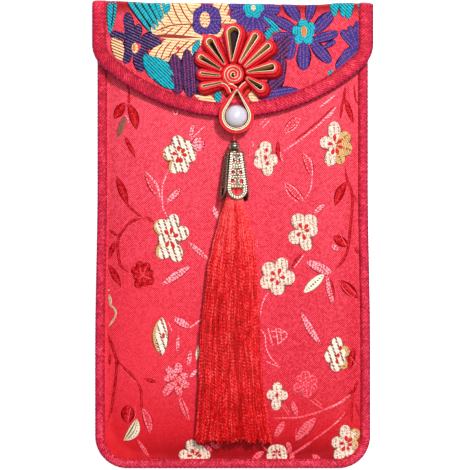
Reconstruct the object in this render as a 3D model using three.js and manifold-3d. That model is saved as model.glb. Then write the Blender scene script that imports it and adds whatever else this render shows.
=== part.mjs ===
// A silk gift envelope: two brocade panels bound with ribbon, a flap folded over the mouth,
// a flower knot whose loop goes round a pearl, and a silk tassel under a pierced metal cap.
// Millimetres, +Z up. It lies on its back, with the flap's fold towards +Y.

import * as THREE from "three";
import { mergeVertices } from "three/addons/utils/BufferGeometryUtils.js";
import Module from "manifold-3d";

const wasm = await Module();
wasm.setup();

// Driving dimensions
const cloth = { thickness: 1.0, gap: 0.15 };
const ribbon = { thickness: 1.0, bodyWidth: 3.8, bodyEdge: 0.7, flapWidth: 5.6, flapEdge: 0.6 };
const body = { halfHeight: 90, upperHalfWidth: 52, lowerHalfWidth: 52.9, cornerRadius: 12.5 };
const front = { mouthY: 76, sideRise: 18, bottomRise: 30, cornerBlend: 0.5 };
const back = { topY: 79.85, sideMargin: 14, topMargin: 6 };
const flap = {
  halfWidth: 54, tailY: 80.15, arcRadius: 74, arcLowestY: 44.6, cornerRadius: 12,
  sideZ: 6.2, crownRise: 3.9, crownLength: 30,
  columns: [10, 19, 27, 34, 40, 45, 49.3, 51.9],
};
const knot = {
  x: 0.3, y: 61.1, stripHeight: 3.4, rosetteRadius: 4.75, spiralStart: 0.75, stepsPerTurn: 16,
  pitch: 1.2, redWidth: 0.7, goldWidth: 0.34, seatGap: 0.2,
};
const pearl = { x: 1.4, y: 45.15, radius: 4.3, height: 6.2, baseRadius: 2.6 };
const loop = { neckX: 1.6, neckY: 54.8, height: 3 };
const tassel = {
  x: 0.6, startY: 40.6, dropBelowLoop: 1.05, tilt: -0.115, cordRadius: 0.6, cordLength: 11,
  beadAlong: 7.1, beadRadius: 2.2, beadPlay: 0.2, capAlong: 9.6, capPlay: 0.4,
};
const cap = {
  length: 18.6, topHalfWidth: 2.1, bottomHalfWidth: 3.9, wall: 0.6, cornerGap: 0.1,
  plateHalfThickness: 0.5, lobeHeight: 3.8, turn: 0.33, tongues: 4, spread: 1.12, press: 0.86,
  archRise: 0.6, archHalfWidth: 2.1, archDepth: 2.6,
};
const skirt = {
  lockCount: 13, lockSides: 5, firstLock: -18, lastLock: 198, lockShareX: 0.22, lockShareZ: 0.4,
  coreShare: 0.86, coreSides: 10, endScatter: 1.5, scatterTurn: 2.4, restGap: 0.35,
  headRows: [{ along: 1.9, radius: 1.6 }, { along: 9, radius: 2.4 }],
};

// Height of the front panel's crown along the envelope
const crownRows = [
  { y: 76, top: 6.7 },
  { y: 68, top: 7.4 },
  { y: 55, top: 7.9 },
  { y: 38, top: 8.2 },
  { y: -90, top: 8.2 },
];

// Petals of the flower knot, angles in degrees from +X about the rosette
const petalRows = [
  { baseAngle: 214, tipAngle: 201.3, reach: 14.9, width: 4.7 },
  { baseAngle: 184, tipAngle: 178, reach: 14.7, width: 4.7 },
  { baseAngle: 157, tipAngle: 152.5, reach: 16.9, width: 5.9 },
  { baseAngle: 131, tipAngle: 126, reach: 18.7, width: 6.6 },
  { baseAngle: 97, tipAngle: 90.5, reach: 20.2, width: 8.6 },
  { baseAngle: 62, tipAngle: 60.5, reach: 19.8, width: 6.1 },
  { baseAngle: 35.5, tipAngle: 39.6, reach: 19.9, width: 5.8 },
  { baseAngle: 10, tipAngle: 10.7, reach: 18, width: 6.5 },
  { baseAngle: -17, tipAngle: -25.8, reach: 14.3, width: 5.9 },
];

// Radii that a petal's strips add to its opening, at its base and at its tip
const petalBands = {
  opening: { base: 0.1, tip: 0 },
  goldOuter: { base: 0.4, tip: 0.55 },
  redInner: { base: 0.48, tip: 0.63 },
  redOuter: { base: 1.3, tip: 2.2 },
};

// Radii of the loop's strips, round its neck and round the pearl
const loopBands = {
  opening: { base: 0.12, tip: pearl.radius + 0.25 },
  goldOuter: { base: 0.55, tip: pearl.radius + 1.35 },
  redInner: { base: 0.65, tip: pearl.radius + 1.45 },
  redOuter: { base: 1.3, tip: pearl.radius + 2.45 },
};

// Pairs of holes through each tongue of the cap, from its plate down
const capHoles = [
  { y: -3.4, spacing: 2, width: 0.9, height: 2.6 },
  { y: -7.9, spacing: 2.7, width: 1.5, height: 1.6 },
  { y: -11.4, spacing: 3.4, width: 1.8, height: 1.8 },
];

// Sections of the tassel's skirt, from the cap to its ends
const skirtRows = [
  { y: 13, centreX: 0.6, halfWidth: 3.4, halfThickness: 3.4, lift: 2.6 },
  { y: 5, centreX: 0.5, halfWidth: 5.9, halfThickness: 3.6, lift: 0.9 },
  { y: -4, centreX: 0.2, halfWidth: 8, halfThickness: 3.5, lift: 0 },
  { y: -14, centreX: -0.2, halfWidth: 9.6, halfThickness: 3.3, lift: 0 },
  { y: -42, centreX: -0.9, halfWidth: 11.5, halfThickness: 3, lift: 0 },
  { y: -54, centreX: -0.7, halfWidth: 12.3, halfThickness: 2.8, lift: 0.1 },
  { y: -64, centreX: -0.4, halfWidth: 13, halfThickness: 2.6, lift: 0.1 },
  { y: -72, centreX: 0, halfWidth: 13.8, halfThickness: 2.4, lift: 0.1 },
  { y: -79, centreX: 0.2, halfWidth: 14.6, halfThickness: 2.2, lift: 0.1 },
];

// Levels in the stack of layers at the bound edge
const backRimZ = ribbon.thickness + cloth.gap;
const frontRimZ = backRimZ + cloth.thickness + cloth.gap;
const bindingTopZ = frontRimZ + cloth.thickness + cloth.gap + ribbon.thickness;
const sheetInset = ribbon.thickness + cloth.gap;

// The flap's fold, a half turn from the front down to the back panel's level
const foldInnerRadius = (flap.sideZ - backRimZ - cloth.thickness) / 2;
const foldZ = flap.sideZ - foldInnerRadius;
const foldY = body.halfHeight - foldInnerRadius - cloth.thickness - cloth.gap - ribbon.thickness;
const foldLength = Math.PI * (foldInnerRadius + cloth.thickness / 2);
const flapEndV = foldY + foldLength + foldY - flap.tailY;

// Levels above the flap's inner face
const onFlap = cloth.thickness + cloth.gap;
const onFlapBinding = onFlap + ribbon.thickness + cloth.gap;

const materials = {
  brocade: new THREE.MeshStandardMaterial({ color: 0xe8354a, roughness: 0.5 }),
  flapBrocade: new THREE.MeshStandardMaterial({ color: 0xc8485f, roughness: 0.5 }),
  ribbon: new THREE.MeshStandardMaterial({ color: 0xe03650, roughness: 0.55 }),
  knotRed: new THREE.MeshStandardMaterial({ color: 0xd92a35, roughness: 0.5 }),
  knotGold: new THREE.MeshStandardMaterial({ color: 0xd9b266, roughness: 0.35, metalness: 0.7 }),
  pearl: new THREE.MeshStandardMaterial({ color: 0xf0ecf3, roughness: 0.15 }),
  metal: new THREE.MeshStandardMaterial({ color: 0xcfc6a4, roughness: 0.3, metalness: 1 }),
  silk: new THREE.MeshStandardMaterial({ color: 0xdd2028, roughness: 0.45 }),
};

const { clamp, degToRad, lerp, smoothstep } = THREE.MathUtils;

// Value of a table's column at a place along the envelope, eased from row to row
function tableAt(rows, column, y) {
  if (y >= rows[0].y) return rows[0][column];
  const next = rows.findIndex((row) => y >= row.y);
  if (next < 0) return rows[rows.length - 1][column];
  const above = rows[next - 1];
  const below = rows[next];
  return lerp(above[column], below[column], smoothstep(above.y - y, 0, above.y - below.y));
}

// A closed mesh from points and triangles, turned so that its faces point out
function solidGeometry(points, triangles) {
  let volume = 0;
  for (const [a, b, c] of triangles) {
    volume += points[a].dot(new THREE.Vector3().crossVectors(points[b], points[c]));
  }
  const outward = volume > 0 ? triangles : triangles.map(([a, b, c]) => [a, c, b]);
  const geometry = new THREE.BufferGeometry().setFromPoints(points);
  geometry.setIndex(outward.flat());
  return geometry;
}

// A sheet of cloth: rows of flat points, with its two faces placed by functions of those points
function sheetGeometry(rows, lowerFace, upperFace) {
  const flatPoints = [];
  const numbers = new Map();
  const numberOf = (point) => {
    const key = `${point.x.toFixed(3)} ${point.y.toFixed(3)}`;
    if (!numbers.has(key)) {
      numbers.set(key, flatPoints.length);
      flatPoints.push(point);
    }
    return numbers.get(key);
  };
  const grid = rows.map((row) => row.map(numberOf));

  const face = [];
  for (let r = 0; r + 1 < grid.length; r += 1) {
    for (let c = 0; c + 1 < grid[r].length; c += 1) {
      const corners = [grid[r][c], grid[r][c + 1], grid[r + 1][c + 1], grid[r + 1][c]];
      face.push([corners[0], corners[1], corners[2]], [corners[0], corners[2], corners[3]]);
    }
  }
  const upper = face.filter(([a, b, c]) => a !== b && b !== c && c !== a);

  const count = flatPoints.length;
  const edges = new Set(upper.flatMap(([a, b, c]) => [`${a} ${b}`, `${b} ${c}`, `${c} ${a}`]));
  const triangles = [...upper, ...upper.map(([a, b, c]) => [a + count, c + count, b + count])];
  for (const edge of edges) {
    const [a, b] = edge.split(" ").map(Number);
    if (edges.has(`${b} ${a}`)) continue;
    triangles.push([b, a, a + count], [b, a + count, b + count]);
  }
  return solidGeometry([...flatPoints.map(upperFace), ...flatPoints.map(lowerFace)], triangles);
}

// A band with a constant section, carried along stations that know which way is inward
function bandGeometry(stations, section, place) {
  const points = stations.flatMap((station) =>
    section.map(({ inset, level }) =>
      place(station.x + inset * station.inwardX, station.y + inset * station.inwardY, level)));
  const size = section.length;
  const triangles = [];
  for (let s = 0; s + 1 < stations.length; s += 1) {
    for (let k = 0; k < size; k += 1) {
      const a = s * size + k;
      const b = s * size + (k + 1) % size;
      triangles.push([a, b, b + size], [a, b + size, a + size]);
    }
  }
  const outline = section.map(({ inset, level }) => new THREE.Vector2(inset, level));
  const last = (stations.length - 1) * size;
  const winding = THREE.ShapeUtils.isClockWise(outline) ? -1 : 1;
  for (const [a, b, c] of THREE.ShapeUtils.triangulateShape(outline, [])) {
    const [second, third] = winding > 0 ? [c, b] : [b, c];
    triangles.push([a, second, third], [last + a, last + third, last + second]);
  }
  return solidGeometry(points, triangles);
}

// A closed loft through rings of equal size
function loftGeometry(rings) {
  const size = rings[0].length;
  const triangles = [];
  for (let r = 0; r + 1 < rings.length; r += 1) {
    for (let k = 0; k < size; k += 1) {
      const a = r * size + k;
      const b = r * size + (k + 1) % size;
      triangles.push([a, b, b + size], [a, b + size, a + size]);
    }
  }
  const last = (rings.length - 1) * size;
  for (let k = 1; k + 1 < size; k += 1) {
    triangles.push([0, k + 1, k], [last, last + k, last + k + 1]);
  }
  return solidGeometry(rings.flat(), triangles);
}

function toSolid(geometry) {
  const bare = geometry.clone();
  bare.deleteAttribute("normal");
  bare.deleteAttribute("uv");
  const merged = mergeVertices(bare, 1e-4);
  return new wasm.Manifold(new wasm.Mesh({
    numProp: 3,
    vertProperties: new Float32Array(merged.attributes.position.array),
    triVerts: new Uint32Array(merged.index.array),
  }));
}

function fromSolid(solid) {
  const mesh = solid.getMesh();
  const geometry = new THREE.BufferGeometry();
  geometry.setAttribute("position", new THREE.BufferAttribute(mesh.vertProperties, 3));
  geometry.setIndex(new THREE.BufferAttribute(mesh.triVerts, 1));
  return geometry;
}

function named(name, geometry, material) {
  const mesh = new THREE.Mesh(geometry, material);
  mesh.name = name;
  return mesh;
}

// Body: two panels and the ribbon round their edges

function halfWidthAt(y) {
  return lerp(body.upperHalfWidth, body.lowerHalfWidth, smoothstep(-y, -20, 45));
}

// Stations down the left side, closest near the mouth, round the bottom and up the right side
function bodyStations(topY) {
  const cornerY = body.cornerRadius - body.halfHeight;
  const sideSteps = 8;
  const crowding = 1.6;
  const cornerSteps = 6;
  const bottomSteps = 3;
  const left = [];
  for (let i = 0; i < sideSteps; i += 1) {
    const y = lerp(topY, cornerY, (i / sideSteps) ** crowding);
    left.push({ x: -halfWidthAt(y), y, inwardX: 1, inwardY: 0 });
  }
  const cornerX = body.cornerRadius - halfWidthAt(cornerY);
  for (let i = 0; i <= cornerSteps; i += 1) {
    const angle = lerp(Math.PI, 1.5 * Math.PI, i / cornerSteps);
    const outX = Math.cos(angle);
    const outY = Math.sin(angle);
    left.push({
      x: cornerX + body.cornerRadius * outX,
      y: cornerY + body.cornerRadius * outY,
      inwardX: -outX,
      inwardY: -outY,
    });
  }
  for (let i = 1; i < bottomSteps; i += 1) {
    left.push({ x: lerp(cornerX, 0, i / bottomSteps), y: -body.halfHeight, inwardX: 0, inwardY: 1 });
  }
  const middle = { x: 0, y: -body.halfHeight, inwardX: 0, inwardY: 1 };
  const right = left.map((station) => ({ ...station, x: -station.x, inwardX: -station.inwardX }));
  return [...left, middle, ...right.reverse()];
}

// Ribs of flat points from the bound edge to the envelope's middle line
function panelRibs(topY) {
  const slotInset = ribbon.bodyWidth + cloth.gap;
  const middleEndY = -42;
  const shares = [0, 0.09, 0.22, 0.4, 0.66, 1];
  return bodyStations(topY).map((station) => {
    const inward = (inset) => new THREE.Vector2(
      station.x + inset * station.inwardX, station.y + inset * station.inwardY);
    const slotEnd = inward(slotInset);
    const middle = new THREE.Vector2(0, Math.max(slotEnd.y, middleEndY));
    const inner = shares.map((share) => slotEnd.clone().lerp(middle, share));
    return [inward(sheetInset), ...inner];
  });
}

// Top of the front panel: level inside the binding, then swelling towards the middle
function frontTop(x, y) {
  const margin = ribbon.bodyWidth + cloth.gap;
  const fromSide = (halfWidthAt(y) - Math.abs(x) - margin) / front.sideRise;
  const fromBottom = (y + body.halfHeight - margin) / front.bottomRise;
  const nearest = (fromSide + fromBottom - Math.hypot(fromSide - fromBottom, front.cornerBlend)) / 2;
  const swell = 1 - (1 - clamp(nearest, 0, 1)) ** 2;
  return lerp(frontRimZ + cloth.thickness, tableAt(crownRows, "top", y), swell);
}

// Underside of the back panel: on the surface in the middle, lifted to the binding at its edges
function backUnder(x, y) {
  const margin = ribbon.bodyWidth + cloth.gap;
  const fromSide = halfWidthAt(y) - Math.abs(x) - margin;
  const fromBottom = y + body.halfHeight - margin;
  const fromTop = back.topY - y;
  const flatShare = Math.min(
    smoothstep(Math.min(fromSide, fromBottom), 0, back.sideMargin),
    smoothstep(fromTop, 0, back.topMargin),
  );
  return backRimZ * (1 - flatShare);
}

function makeBody() {
  const group = new THREE.Group();
  group.add(named("back_panel", sheetGeometry(
    panelRibs(back.topY),
    ({ x, y }) => new THREE.Vector3(x, y, backUnder(x, y)),
    ({ x, y }) => new THREE.Vector3(x, y, backUnder(x, y) + cloth.thickness),
  ), materials.brocade));
  group.add(named("front_panel", sheetGeometry(
    panelRibs(front.mouthY),
    ({ x, y }) => new THREE.Vector3(x, y, frontTop(x, y) - cloth.thickness),
    ({ x, y }) => new THREE.Vector3(x, y, frontTop(x, y)),
  ), materials.brocade));

  const edge = ribbon.bodyEdge;
  const section = [
    { inset: edge, level: 0 },
    { inset: ribbon.bodyWidth, level: 0 },
    { inset: ribbon.bodyWidth, level: ribbon.thickness },
    { inset: ribbon.thickness, level: ribbon.thickness },
    { inset: ribbon.thickness, level: bindingTopZ - ribbon.thickness },
    { inset: ribbon.bodyWidth, level: bindingTopZ - ribbon.thickness },
    { inset: ribbon.bodyWidth, level: bindingTopZ },
    { inset: edge, level: bindingTopZ },
    { inset: 0, level: bindingTopZ - edge },
    { inset: 0, level: edge },
  ];
  const place = (x, y, level) => new THREE.Vector3(x, y, level);
  group.add(named("edge_binding", bandGeometry(bodyStations(back.topY), section, place), materials.ribbon));
  return group;
}

// Flap: cut flat, bound with ribbon, then folded over the mouth

// Inner face of the flap over the front panel
function flapUnder(x, y) {
  const crown = flap.crownRise * smoothstep(foldY - y, 0, flap.crownLength);
  return flap.sideZ + crown * (1 - (x / flap.halfWidth) ** 4);
}

// Place of a point of the flat flap, at a level above its inner face
function flapPoint(x, v, level) {
  if (v <= foldY) return new THREE.Vector3(x, v, flapUnder(x, v) + level);
  const radius = foldInnerRadius + level;
  const past = v - foldY;
  if (past >= foldLength) return new THREE.Vector3(x, foldY - past + foldLength, foldZ - radius);
  const turn = Math.PI * past / foldLength;
  return new THREE.Vector3(x, foldY + radius * Math.sin(turn), foldZ + radius * Math.cos(turn));
}

// The round corner between the flap's side and the arc of its edge
const flapArcY = flap.arcLowestY + flap.arcRadius;
const flapCornerX = flap.halfWidth - flap.cornerRadius;
const flapCornerY = flapArcY - Math.sqrt((flap.arcRadius - flap.cornerRadius) ** 2 - flapCornerX ** 2);
const flapCornerTurn = Math.atan2(flapArcY - flapCornerY, flapCornerX);
const foldSteps = 6;

function flapStations() {
  const left = [{ x: -flap.halfWidth, y: flapEndV }];
  for (let i = foldSteps; i > 0; i -= 1) {
    left.push({ x: -flap.halfWidth, y: foldY + foldLength * i / foldSteps });
  }
  left.push({ x: -flap.halfWidth, y: foldY }, { x: -flap.halfWidth, y: (foldY + flapCornerY) / 2 });
  for (const station of left) Object.assign(station, { inwardX: 1, inwardY: 0 });

  const round = (centreX, centreY, radius, angle) => left.push({
    x: centreX + radius * Math.cos(angle),
    y: centreY + radius * Math.sin(angle),
    inwardX: -Math.cos(angle),
    inwardY: -Math.sin(angle),
  });
  const cornerSteps = 4;
  for (let i = 0; i <= cornerSteps; i += 1) {
    const angle = Math.PI + flapCornerTurn * i / cornerSteps;
    round(-flapCornerX, flapCornerY, flap.cornerRadius, angle);
  }
  const arcSteps = 8;
  for (let i = 1; i < arcSteps; i += 1) {
    round(0, flapArcY, flap.arcRadius, lerp(Math.PI + flapCornerTurn, 1.5 * Math.PI, i / arcSteps));
  }
  const middle = { x: 0, y: flap.arcLowestY, inwardX: 0, inwardY: 1 };
  const right = left.map((station) => ({ ...station, x: -station.x, inwardX: -station.inwardX }));
  return [...left, middle, ...right.reverse()];
}

// Lower edge of the flap's cloth, inside its binding
function flapLowerEdge(x) {
  const fromCorner = Math.abs(x) - flapCornerX;
  const cornerRadius = flap.cornerRadius - sheetInset;
  if (fromCorner > cornerRadius * Math.cos(flapCornerTurn)) {
    return flapCornerY - Math.sqrt(Math.max(cornerRadius ** 2 - fromCorner ** 2, 0));
  }
  return flapArcY - Math.sqrt((flap.arcRadius - sheetInset) ** 2 - x ** 2);
}

function makeFlap() {
  const group = new THREE.Group();
  const rightColumns = [...flap.columns, flap.halfWidth - sheetInset];
  const columns = [...rightColumns.map((x) => -x).reverse(), 0, ...rightColumns];
  const frontSteps = 7;
  const rows = columns.map((x) => {
    const lowest = flapLowerEdge(x);
    const row = [];
    for (let i = 0; i <= frontSteps; i += 1) row.push(lerp(lowest, foldY, i / frontSteps));
    for (let i = 1; i <= foldSteps; i += 1) row.push(foldY + foldLength * i / foldSteps);
    row.push(flapEndV);
    return row.map((v) => new THREE.Vector2(x, v));
  });
  group.add(named("flap", sheetGeometry(
    rows,
    ({ x, y }) => flapPoint(x, y, 0),
    ({ x, y }) => flapPoint(x, y, cloth.thickness),
  ), materials.flapBrocade));

  const lowest = -cloth.gap - ribbon.thickness;
  const highest = cloth.thickness - lowest;
  const edge = ribbon.flapEdge;
  const middle = (ribbon.thickness + ribbon.flapWidth) / 2;
  const section = [
    { inset: edge, level: lowest },
    { inset: middle, level: lowest },
    { inset: ribbon.flapWidth, level: lowest },
    { inset: ribbon.flapWidth, level: -cloth.gap },
    { inset: middle, level: -cloth.gap },
    { inset: ribbon.thickness, level: -cloth.gap },
    { inset: ribbon.thickness, level: onFlap },
    { inset: middle, level: onFlap },
    { inset: ribbon.flapWidth, level: onFlap },
    { inset: ribbon.flapWidth, level: highest },
    { inset: middle, level: highest },
    { inset: edge, level: highest },
    { inset: 0, level: highest - edge },
    { inset: 0, level: lowest + edge },
  ];
  group.add(named("flap_binding", bandGeometry(flapStations(), section, flapPoint), materials.ribbon));
  return group;
}

// Flower knot: strips standing on edge, laid on the flap

// Outline of a teardrop: the hull of a small circle at its base and a larger one at its tip
function teardrop(base, baseRadius, tip, tipRadius) {
  const axis = tip.clone().sub(base);
  const heading = axis.angle();
  const lean = Math.asin((tipRadius - baseRadius) / axis.length());
  const half = Math.PI / 2 + lean;
  const path = new THREE.Path();
  path.absarc(tip.x, tip.y, tipRadius, heading - half, heading + half, false);
  path.absarc(base.x, base.y, baseRadius, heading + half, heading - half + 2 * Math.PI, false);
  return path;
}

function pathPoints(path, tipSteps, baseSteps) {
  const [tipArc, , baseArc] = path.curves;
  return [...tipArc.getPoints(tipSteps), ...baseArc.getPoints(baseSteps)];
}

// A closed strip between two teardrops, standing on the flap
function stripGeometry(base, tip, tipRadius, inside, outside, baseLevel, height) {
  const tipSteps = 9;
  const baseSteps = 2;
  const outline = (band) => pathPoints(
    teardrop(base, band.base, tip, tipRadius + band.tip), tipSteps, baseSteps);
  const shape = new THREE.Shape(outline(outside));
  shape.holes.push(new THREE.Path(outline(inside)));
  return drapeOnFlap(shape, baseLevel, height);
}

// A flat shape raised to a height, every point standing on the flap's own level there
function drapeOnFlap(shape, baseLevel, height) {
  const geometry = new THREE.ExtrudeGeometry(shape, { depth: height, bevelEnabled: false });
  const position = geometry.attributes.position;
  for (let i = 0; i < position.count; i += 1) {
    const x = position.getX(i);
    const y = position.getY(i);
    position.setZ(i, flapUnder(x, y) + baseLevel + position.getZ(i));
  }
  return geometry;
}

function fromRosette(angle, distance) {
  const turn = degToRad(angle);
  return new THREE.Vector2(knot.x + distance * Math.cos(turn), knot.y + distance * Math.sin(turn));
}

// A strip wound in a spiral, between two distances from the spiral's own line
function spiralGeometry(fromLine, width) {
  const turns = (knot.rosetteRadius - knot.spiralStart - knot.redWidth) / knot.pitch;
  const steps = Math.round(knot.stepsPerTurn * turns);
  const along = (offset) => Array.from({ length: steps + 1 }, (_, i) => {
    const share = i / steps;
    const radius = knot.spiralStart + knot.pitch * turns * share + offset;
    const angle = 360 * turns * (share - 1) - 90;
    return fromRosette(angle, radius);
  });
  const outline = [...along(fromLine), ...along(fromLine + width).reverse()];
  return drapeOnFlap(new THREE.Shape(outline), onFlap, knot.stripHeight);
}

function makeKnot() {
  const group = new THREE.Group();
  const seatRadius = knot.rosetteRadius + knot.seatGap + petalBands.redOuter.base;
  petalRows.forEach((row, index) => {
    const outerRadius = row.width / 2;
    const tipRadius = outerRadius - petalBands.redOuter.tip;
    const base = fromRosette(row.baseAngle, seatRadius);
    const tip = fromRosette(row.tipAngle, row.reach - outerRadius);
    const strip = (inside, outside) =>
      stripGeometry(base, tip, tipRadius, inside, outside, onFlap, knot.stripHeight);
    const { opening, goldOuter, redInner, redOuter } = petalBands;
    group.add(named(`petal_${index + 1}`, strip(redInner, redOuter), materials.knotRed));
    group.add(named(`petal_lining_${index + 1}`, strip(opening, goldOuter), materials.knotGold));
  });

  const windingGap = (knot.pitch - knot.redWidth - knot.goldWidth) / 2;
  group.add(named("frog_rosette", spiralGeometry(0, knot.redWidth), materials.knotRed));
  group.add(named("rosette_piping",
    spiralGeometry(-windingGap - knot.goldWidth, knot.goldWidth), materials.knotGold));

  const neck = new THREE.Vector2(loop.neckX, loop.neckY);
  const pearlCentre = new THREE.Vector2(pearl.x, pearl.y);
  const strip = (inside, outside) =>
    stripGeometry(neck, pearlCentre, 0, inside, outside, onFlapBinding, loop.height);
  group.add(named("frog_loop", strip(loopBands.redInner, loopBands.redOuter), materials.knotRed));
  group.add(named("loop_piping", strip(loopBands.opening, loopBands.goldOuter), materials.knotGold));
  return group;
}

// A button pearl: round above, with a small flat base
function makePearl() {
  const steps = 8;
  const lowest = -Math.acos(pearl.baseRadius / pearl.radius);
  const halfHeight = pearl.height / (1 - Math.sin(lowest));
  const profile = [new THREE.Vector2(0, 0)];
  for (let i = 0; i <= steps; i += 1) {
    const angle = lerp(lowest, Math.PI / 2, i / steps);
    const radius = i < steps ? pearl.radius * Math.cos(angle) : 0;
    profile.push(new THREE.Vector2(radius, halfHeight * (Math.sin(angle) - Math.sin(lowest))));
  }
  const mesh = named("pearl", new THREE.LatheGeometry(profile, 16), materials.pearl);
  mesh.rotation.x = Math.PI / 2;
  mesh.position.set(pearl.x, pearl.y, flapUnder(pearl.x, pearl.y) + onFlapBinding);
  return mesh;
}

// Tassel: cord, bead, pierced cap and silk skirt

const tasselStartZ = flapUnder(pearl.x, pearl.y) + onFlapBinding - tassel.dropBelowLoop;

function makeCord() {
  const outline = new THREE.Shape();
  outline.absarc(0, 0, tassel.cordRadius, 0, 2 * Math.PI);
  const geometry = new THREE.ExtrudeGeometry(outline,
    { depth: tassel.cordLength, bevelEnabled: false, curveSegments: 4 });
  const mesh = named("tassel_cord", geometry, materials.silk);
  mesh.rotation.x = Math.PI / 2;
  return mesh;
}

function makeBead() {
  const bore = tassel.cordRadius + tassel.beadPlay;
  const lowest = Math.asin(bore / tassel.beadRadius);
  const steps = 8;
  const profile = [];
  for (let i = 0; i <= steps; i += 1) {
    const angle = lerp(lowest, Math.PI - lowest, i / steps) - Math.PI / 2;
    profile.push(new THREE.Vector2(Math.cos(angle), Math.sin(angle)).multiplyScalar(tassel.beadRadius));
  }
  profile.push(profile[0].clone());
  const mesh = named("tassel_bead", new THREE.LatheGeometry(profile, 14), materials.metal);
  mesh.position.y = -tassel.beadAlong;
  return mesh;
}

// One tongue of the cap: a tapered strip with a round end, pierced through
function tongueShape() {
  const lobeY = -cap.length + cap.lobeHeight;
  const topHalf = cap.topHalfWidth - cap.cornerGap;
  const lobeHalf = lerp(cap.bottomHalfWidth, cap.topHalfWidth, cap.lobeHeight / cap.length) - cap.cornerGap;
  const shape = new THREE.Shape();
  shape.moveTo(-topHalf, 0);
  shape.lineTo(-lobeHalf, lobeY);
  shape.absellipse(0, lobeY, lobeHalf, cap.lobeHeight, Math.PI, 2 * Math.PI, false);
  shape.lineTo(topHalf, 0);
  shape.closePath();

  const pierce = (x, y, width, height) => {
    const hole = new THREE.Path();
    hole.absellipse(x, y, width / 2, height / 2, 0, 2 * Math.PI, true);
    shape.holes.push(hole);
  };
  for (const { y, spacing, width, height } of capHoles) {
    pierce(-spacing / 2, y, width, height);
    pierce(spacing / 2, y, width, height);
  }
  const arch = new THREE.Path();
  arch.absellipse(0, lobeY + cap.archRise, cap.archHalfWidth, cap.archDepth, 2 * Math.PI, Math.PI, true);
  arch.closePath();
  shape.holes.push(arch);
  return shape;
}

// The cap: tongues leaning out from a square plate that the cord passes through, pressed a little
// flat as it lies
function makeCap() {
  const lean = Math.atan((cap.bottomHalfWidth - cap.topHalfWidth) / cap.length);
  const plateHalf = cap.topHalfWidth + cap.wall;
  const plate = new THREE.Shape();
  plate.moveTo(-plateHalf, -plateHalf);
  plate.lineTo(plateHalf, -plateHalf);
  plate.lineTo(plateHalf, plateHalf);
  plate.lineTo(-plateHalf, plateHalf);
  plate.closePath();
  const bore = new THREE.Path();
  bore.absarc(0, 0, tassel.cordRadius + tassel.capPlay, 0, 2 * Math.PI, true);
  plate.holes.push(bore);
  const plateGeometry = new THREE.ExtrudeGeometry(plate,
    { depth: 2 * cap.plateHalfThickness, bevelEnabled: false, curveSegments: 5 });
  plateGeometry.rotateX(Math.PI / 2);
  plateGeometry.translate(0, cap.plateHalfThickness, 0);

  let solid = toSolid(plateGeometry);
  for (let k = 0; k < cap.tongues; k += 1) {
    const tongue = new THREE.ExtrudeGeometry(tongueShape(),
      { depth: cap.wall, bevelEnabled: false, curveSegments: 5 });
    tongue.rotateX(-lean);
    tongue.translate(0, 0, cap.topHalfWidth);
    tongue.rotateY(2 * Math.PI * k / cap.tongues);
    solid = solid.add(toSolid(tongue));
  }
  const geometry = fromSolid(solid).scale(cap.spread, 1, cap.press);
  const mesh = named("tassel_cap", geometry, materials.metal);
  mesh.rotation.y = cap.turn;
  mesh.position.y = -tassel.capAlong;
  return mesh;
}

// An upright oval ring of points across the tassel
function ovalRing(x, y, z, radiusX, radiusZ, sides) {
  return Array.from({ length: sides }, (_, i) => {
    const angle = 2 * Math.PI * i / sides;
    return new THREE.Vector3(x + radiusX * Math.cos(angle), y, z + radiusZ * Math.sin(angle));
  });
}

// The skirt: locks of silk fused to a core whose head fills the cap
function makeSkirt() {
  const rows = skirtRows.map((row) => ({
    ...row,
    centreZ: frontTop(row.centreX, row.y) + skirt.restGap + row.halfThickness + row.lift,
  }));
  const head = skirt.headRows.map(({ along, radius }) => {
    const reach = tassel.capAlong + along;
    const y = tassel.startY - reach * Math.cos(tassel.tilt);
    const z = tasselStartZ - reach * Math.sin(tassel.tilt);
    return ovalRing(tassel.x, y, z, radius, radius, skirt.coreSides);
  });
  const core = rows.map((row) => ovalRing(
    row.centreX, row.y, row.centreZ,
    row.halfWidth * skirt.coreShare, row.halfThickness * skirt.coreShare, skirt.coreSides));
  let solid = toSolid(loftGeometry([...head, ...core]));

  for (let k = 0; k < skirt.lockCount; k += 1) {
    const around = degToRad(lerp(skirt.firstLock, skirt.lastLock, k / (skirt.lockCount - 1)));
    const rings = rows.map((row, index) => {
      const end = index === rows.length - 1 ? skirt.endScatter * Math.sin(skirt.scatterTurn * k) : 0;
      return ovalRing(
        row.centreX + row.halfWidth * (1 - skirt.lockShareX) * Math.cos(around),
        row.y + end,
        row.centreZ + row.halfThickness * (1 - skirt.lockShareZ) * Math.sin(around),
        row.halfWidth * skirt.lockShareX, row.halfThickness * skirt.lockShareZ, skirt.lockSides);
    });
    solid = solid.add(toSolid(loftGeometry(rings)));
  }
  return named("tassel_skirt", fromSolid(solid), materials.silk);
}

// Cord, bead and cap share one line, which rises from under the loop as it leaves the flap
const hanging = new THREE.Group();
hanging.position.set(tassel.x, tassel.startY, tasselStartZ);
hanging.rotation.x = tassel.tilt;
hanging.add(makeCord(), makeBead(), makeCap());

const envelope = new THREE.Group();
envelope.add(makeBody(), makeFlap(), makeKnot(), makePearl(), hanging, makeSkirt());

export default envelope;
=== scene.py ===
# Silk gift envelope: a brocade pouch with a bound flap, a flower knot over a pearl and a capped tassel
import math

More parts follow.
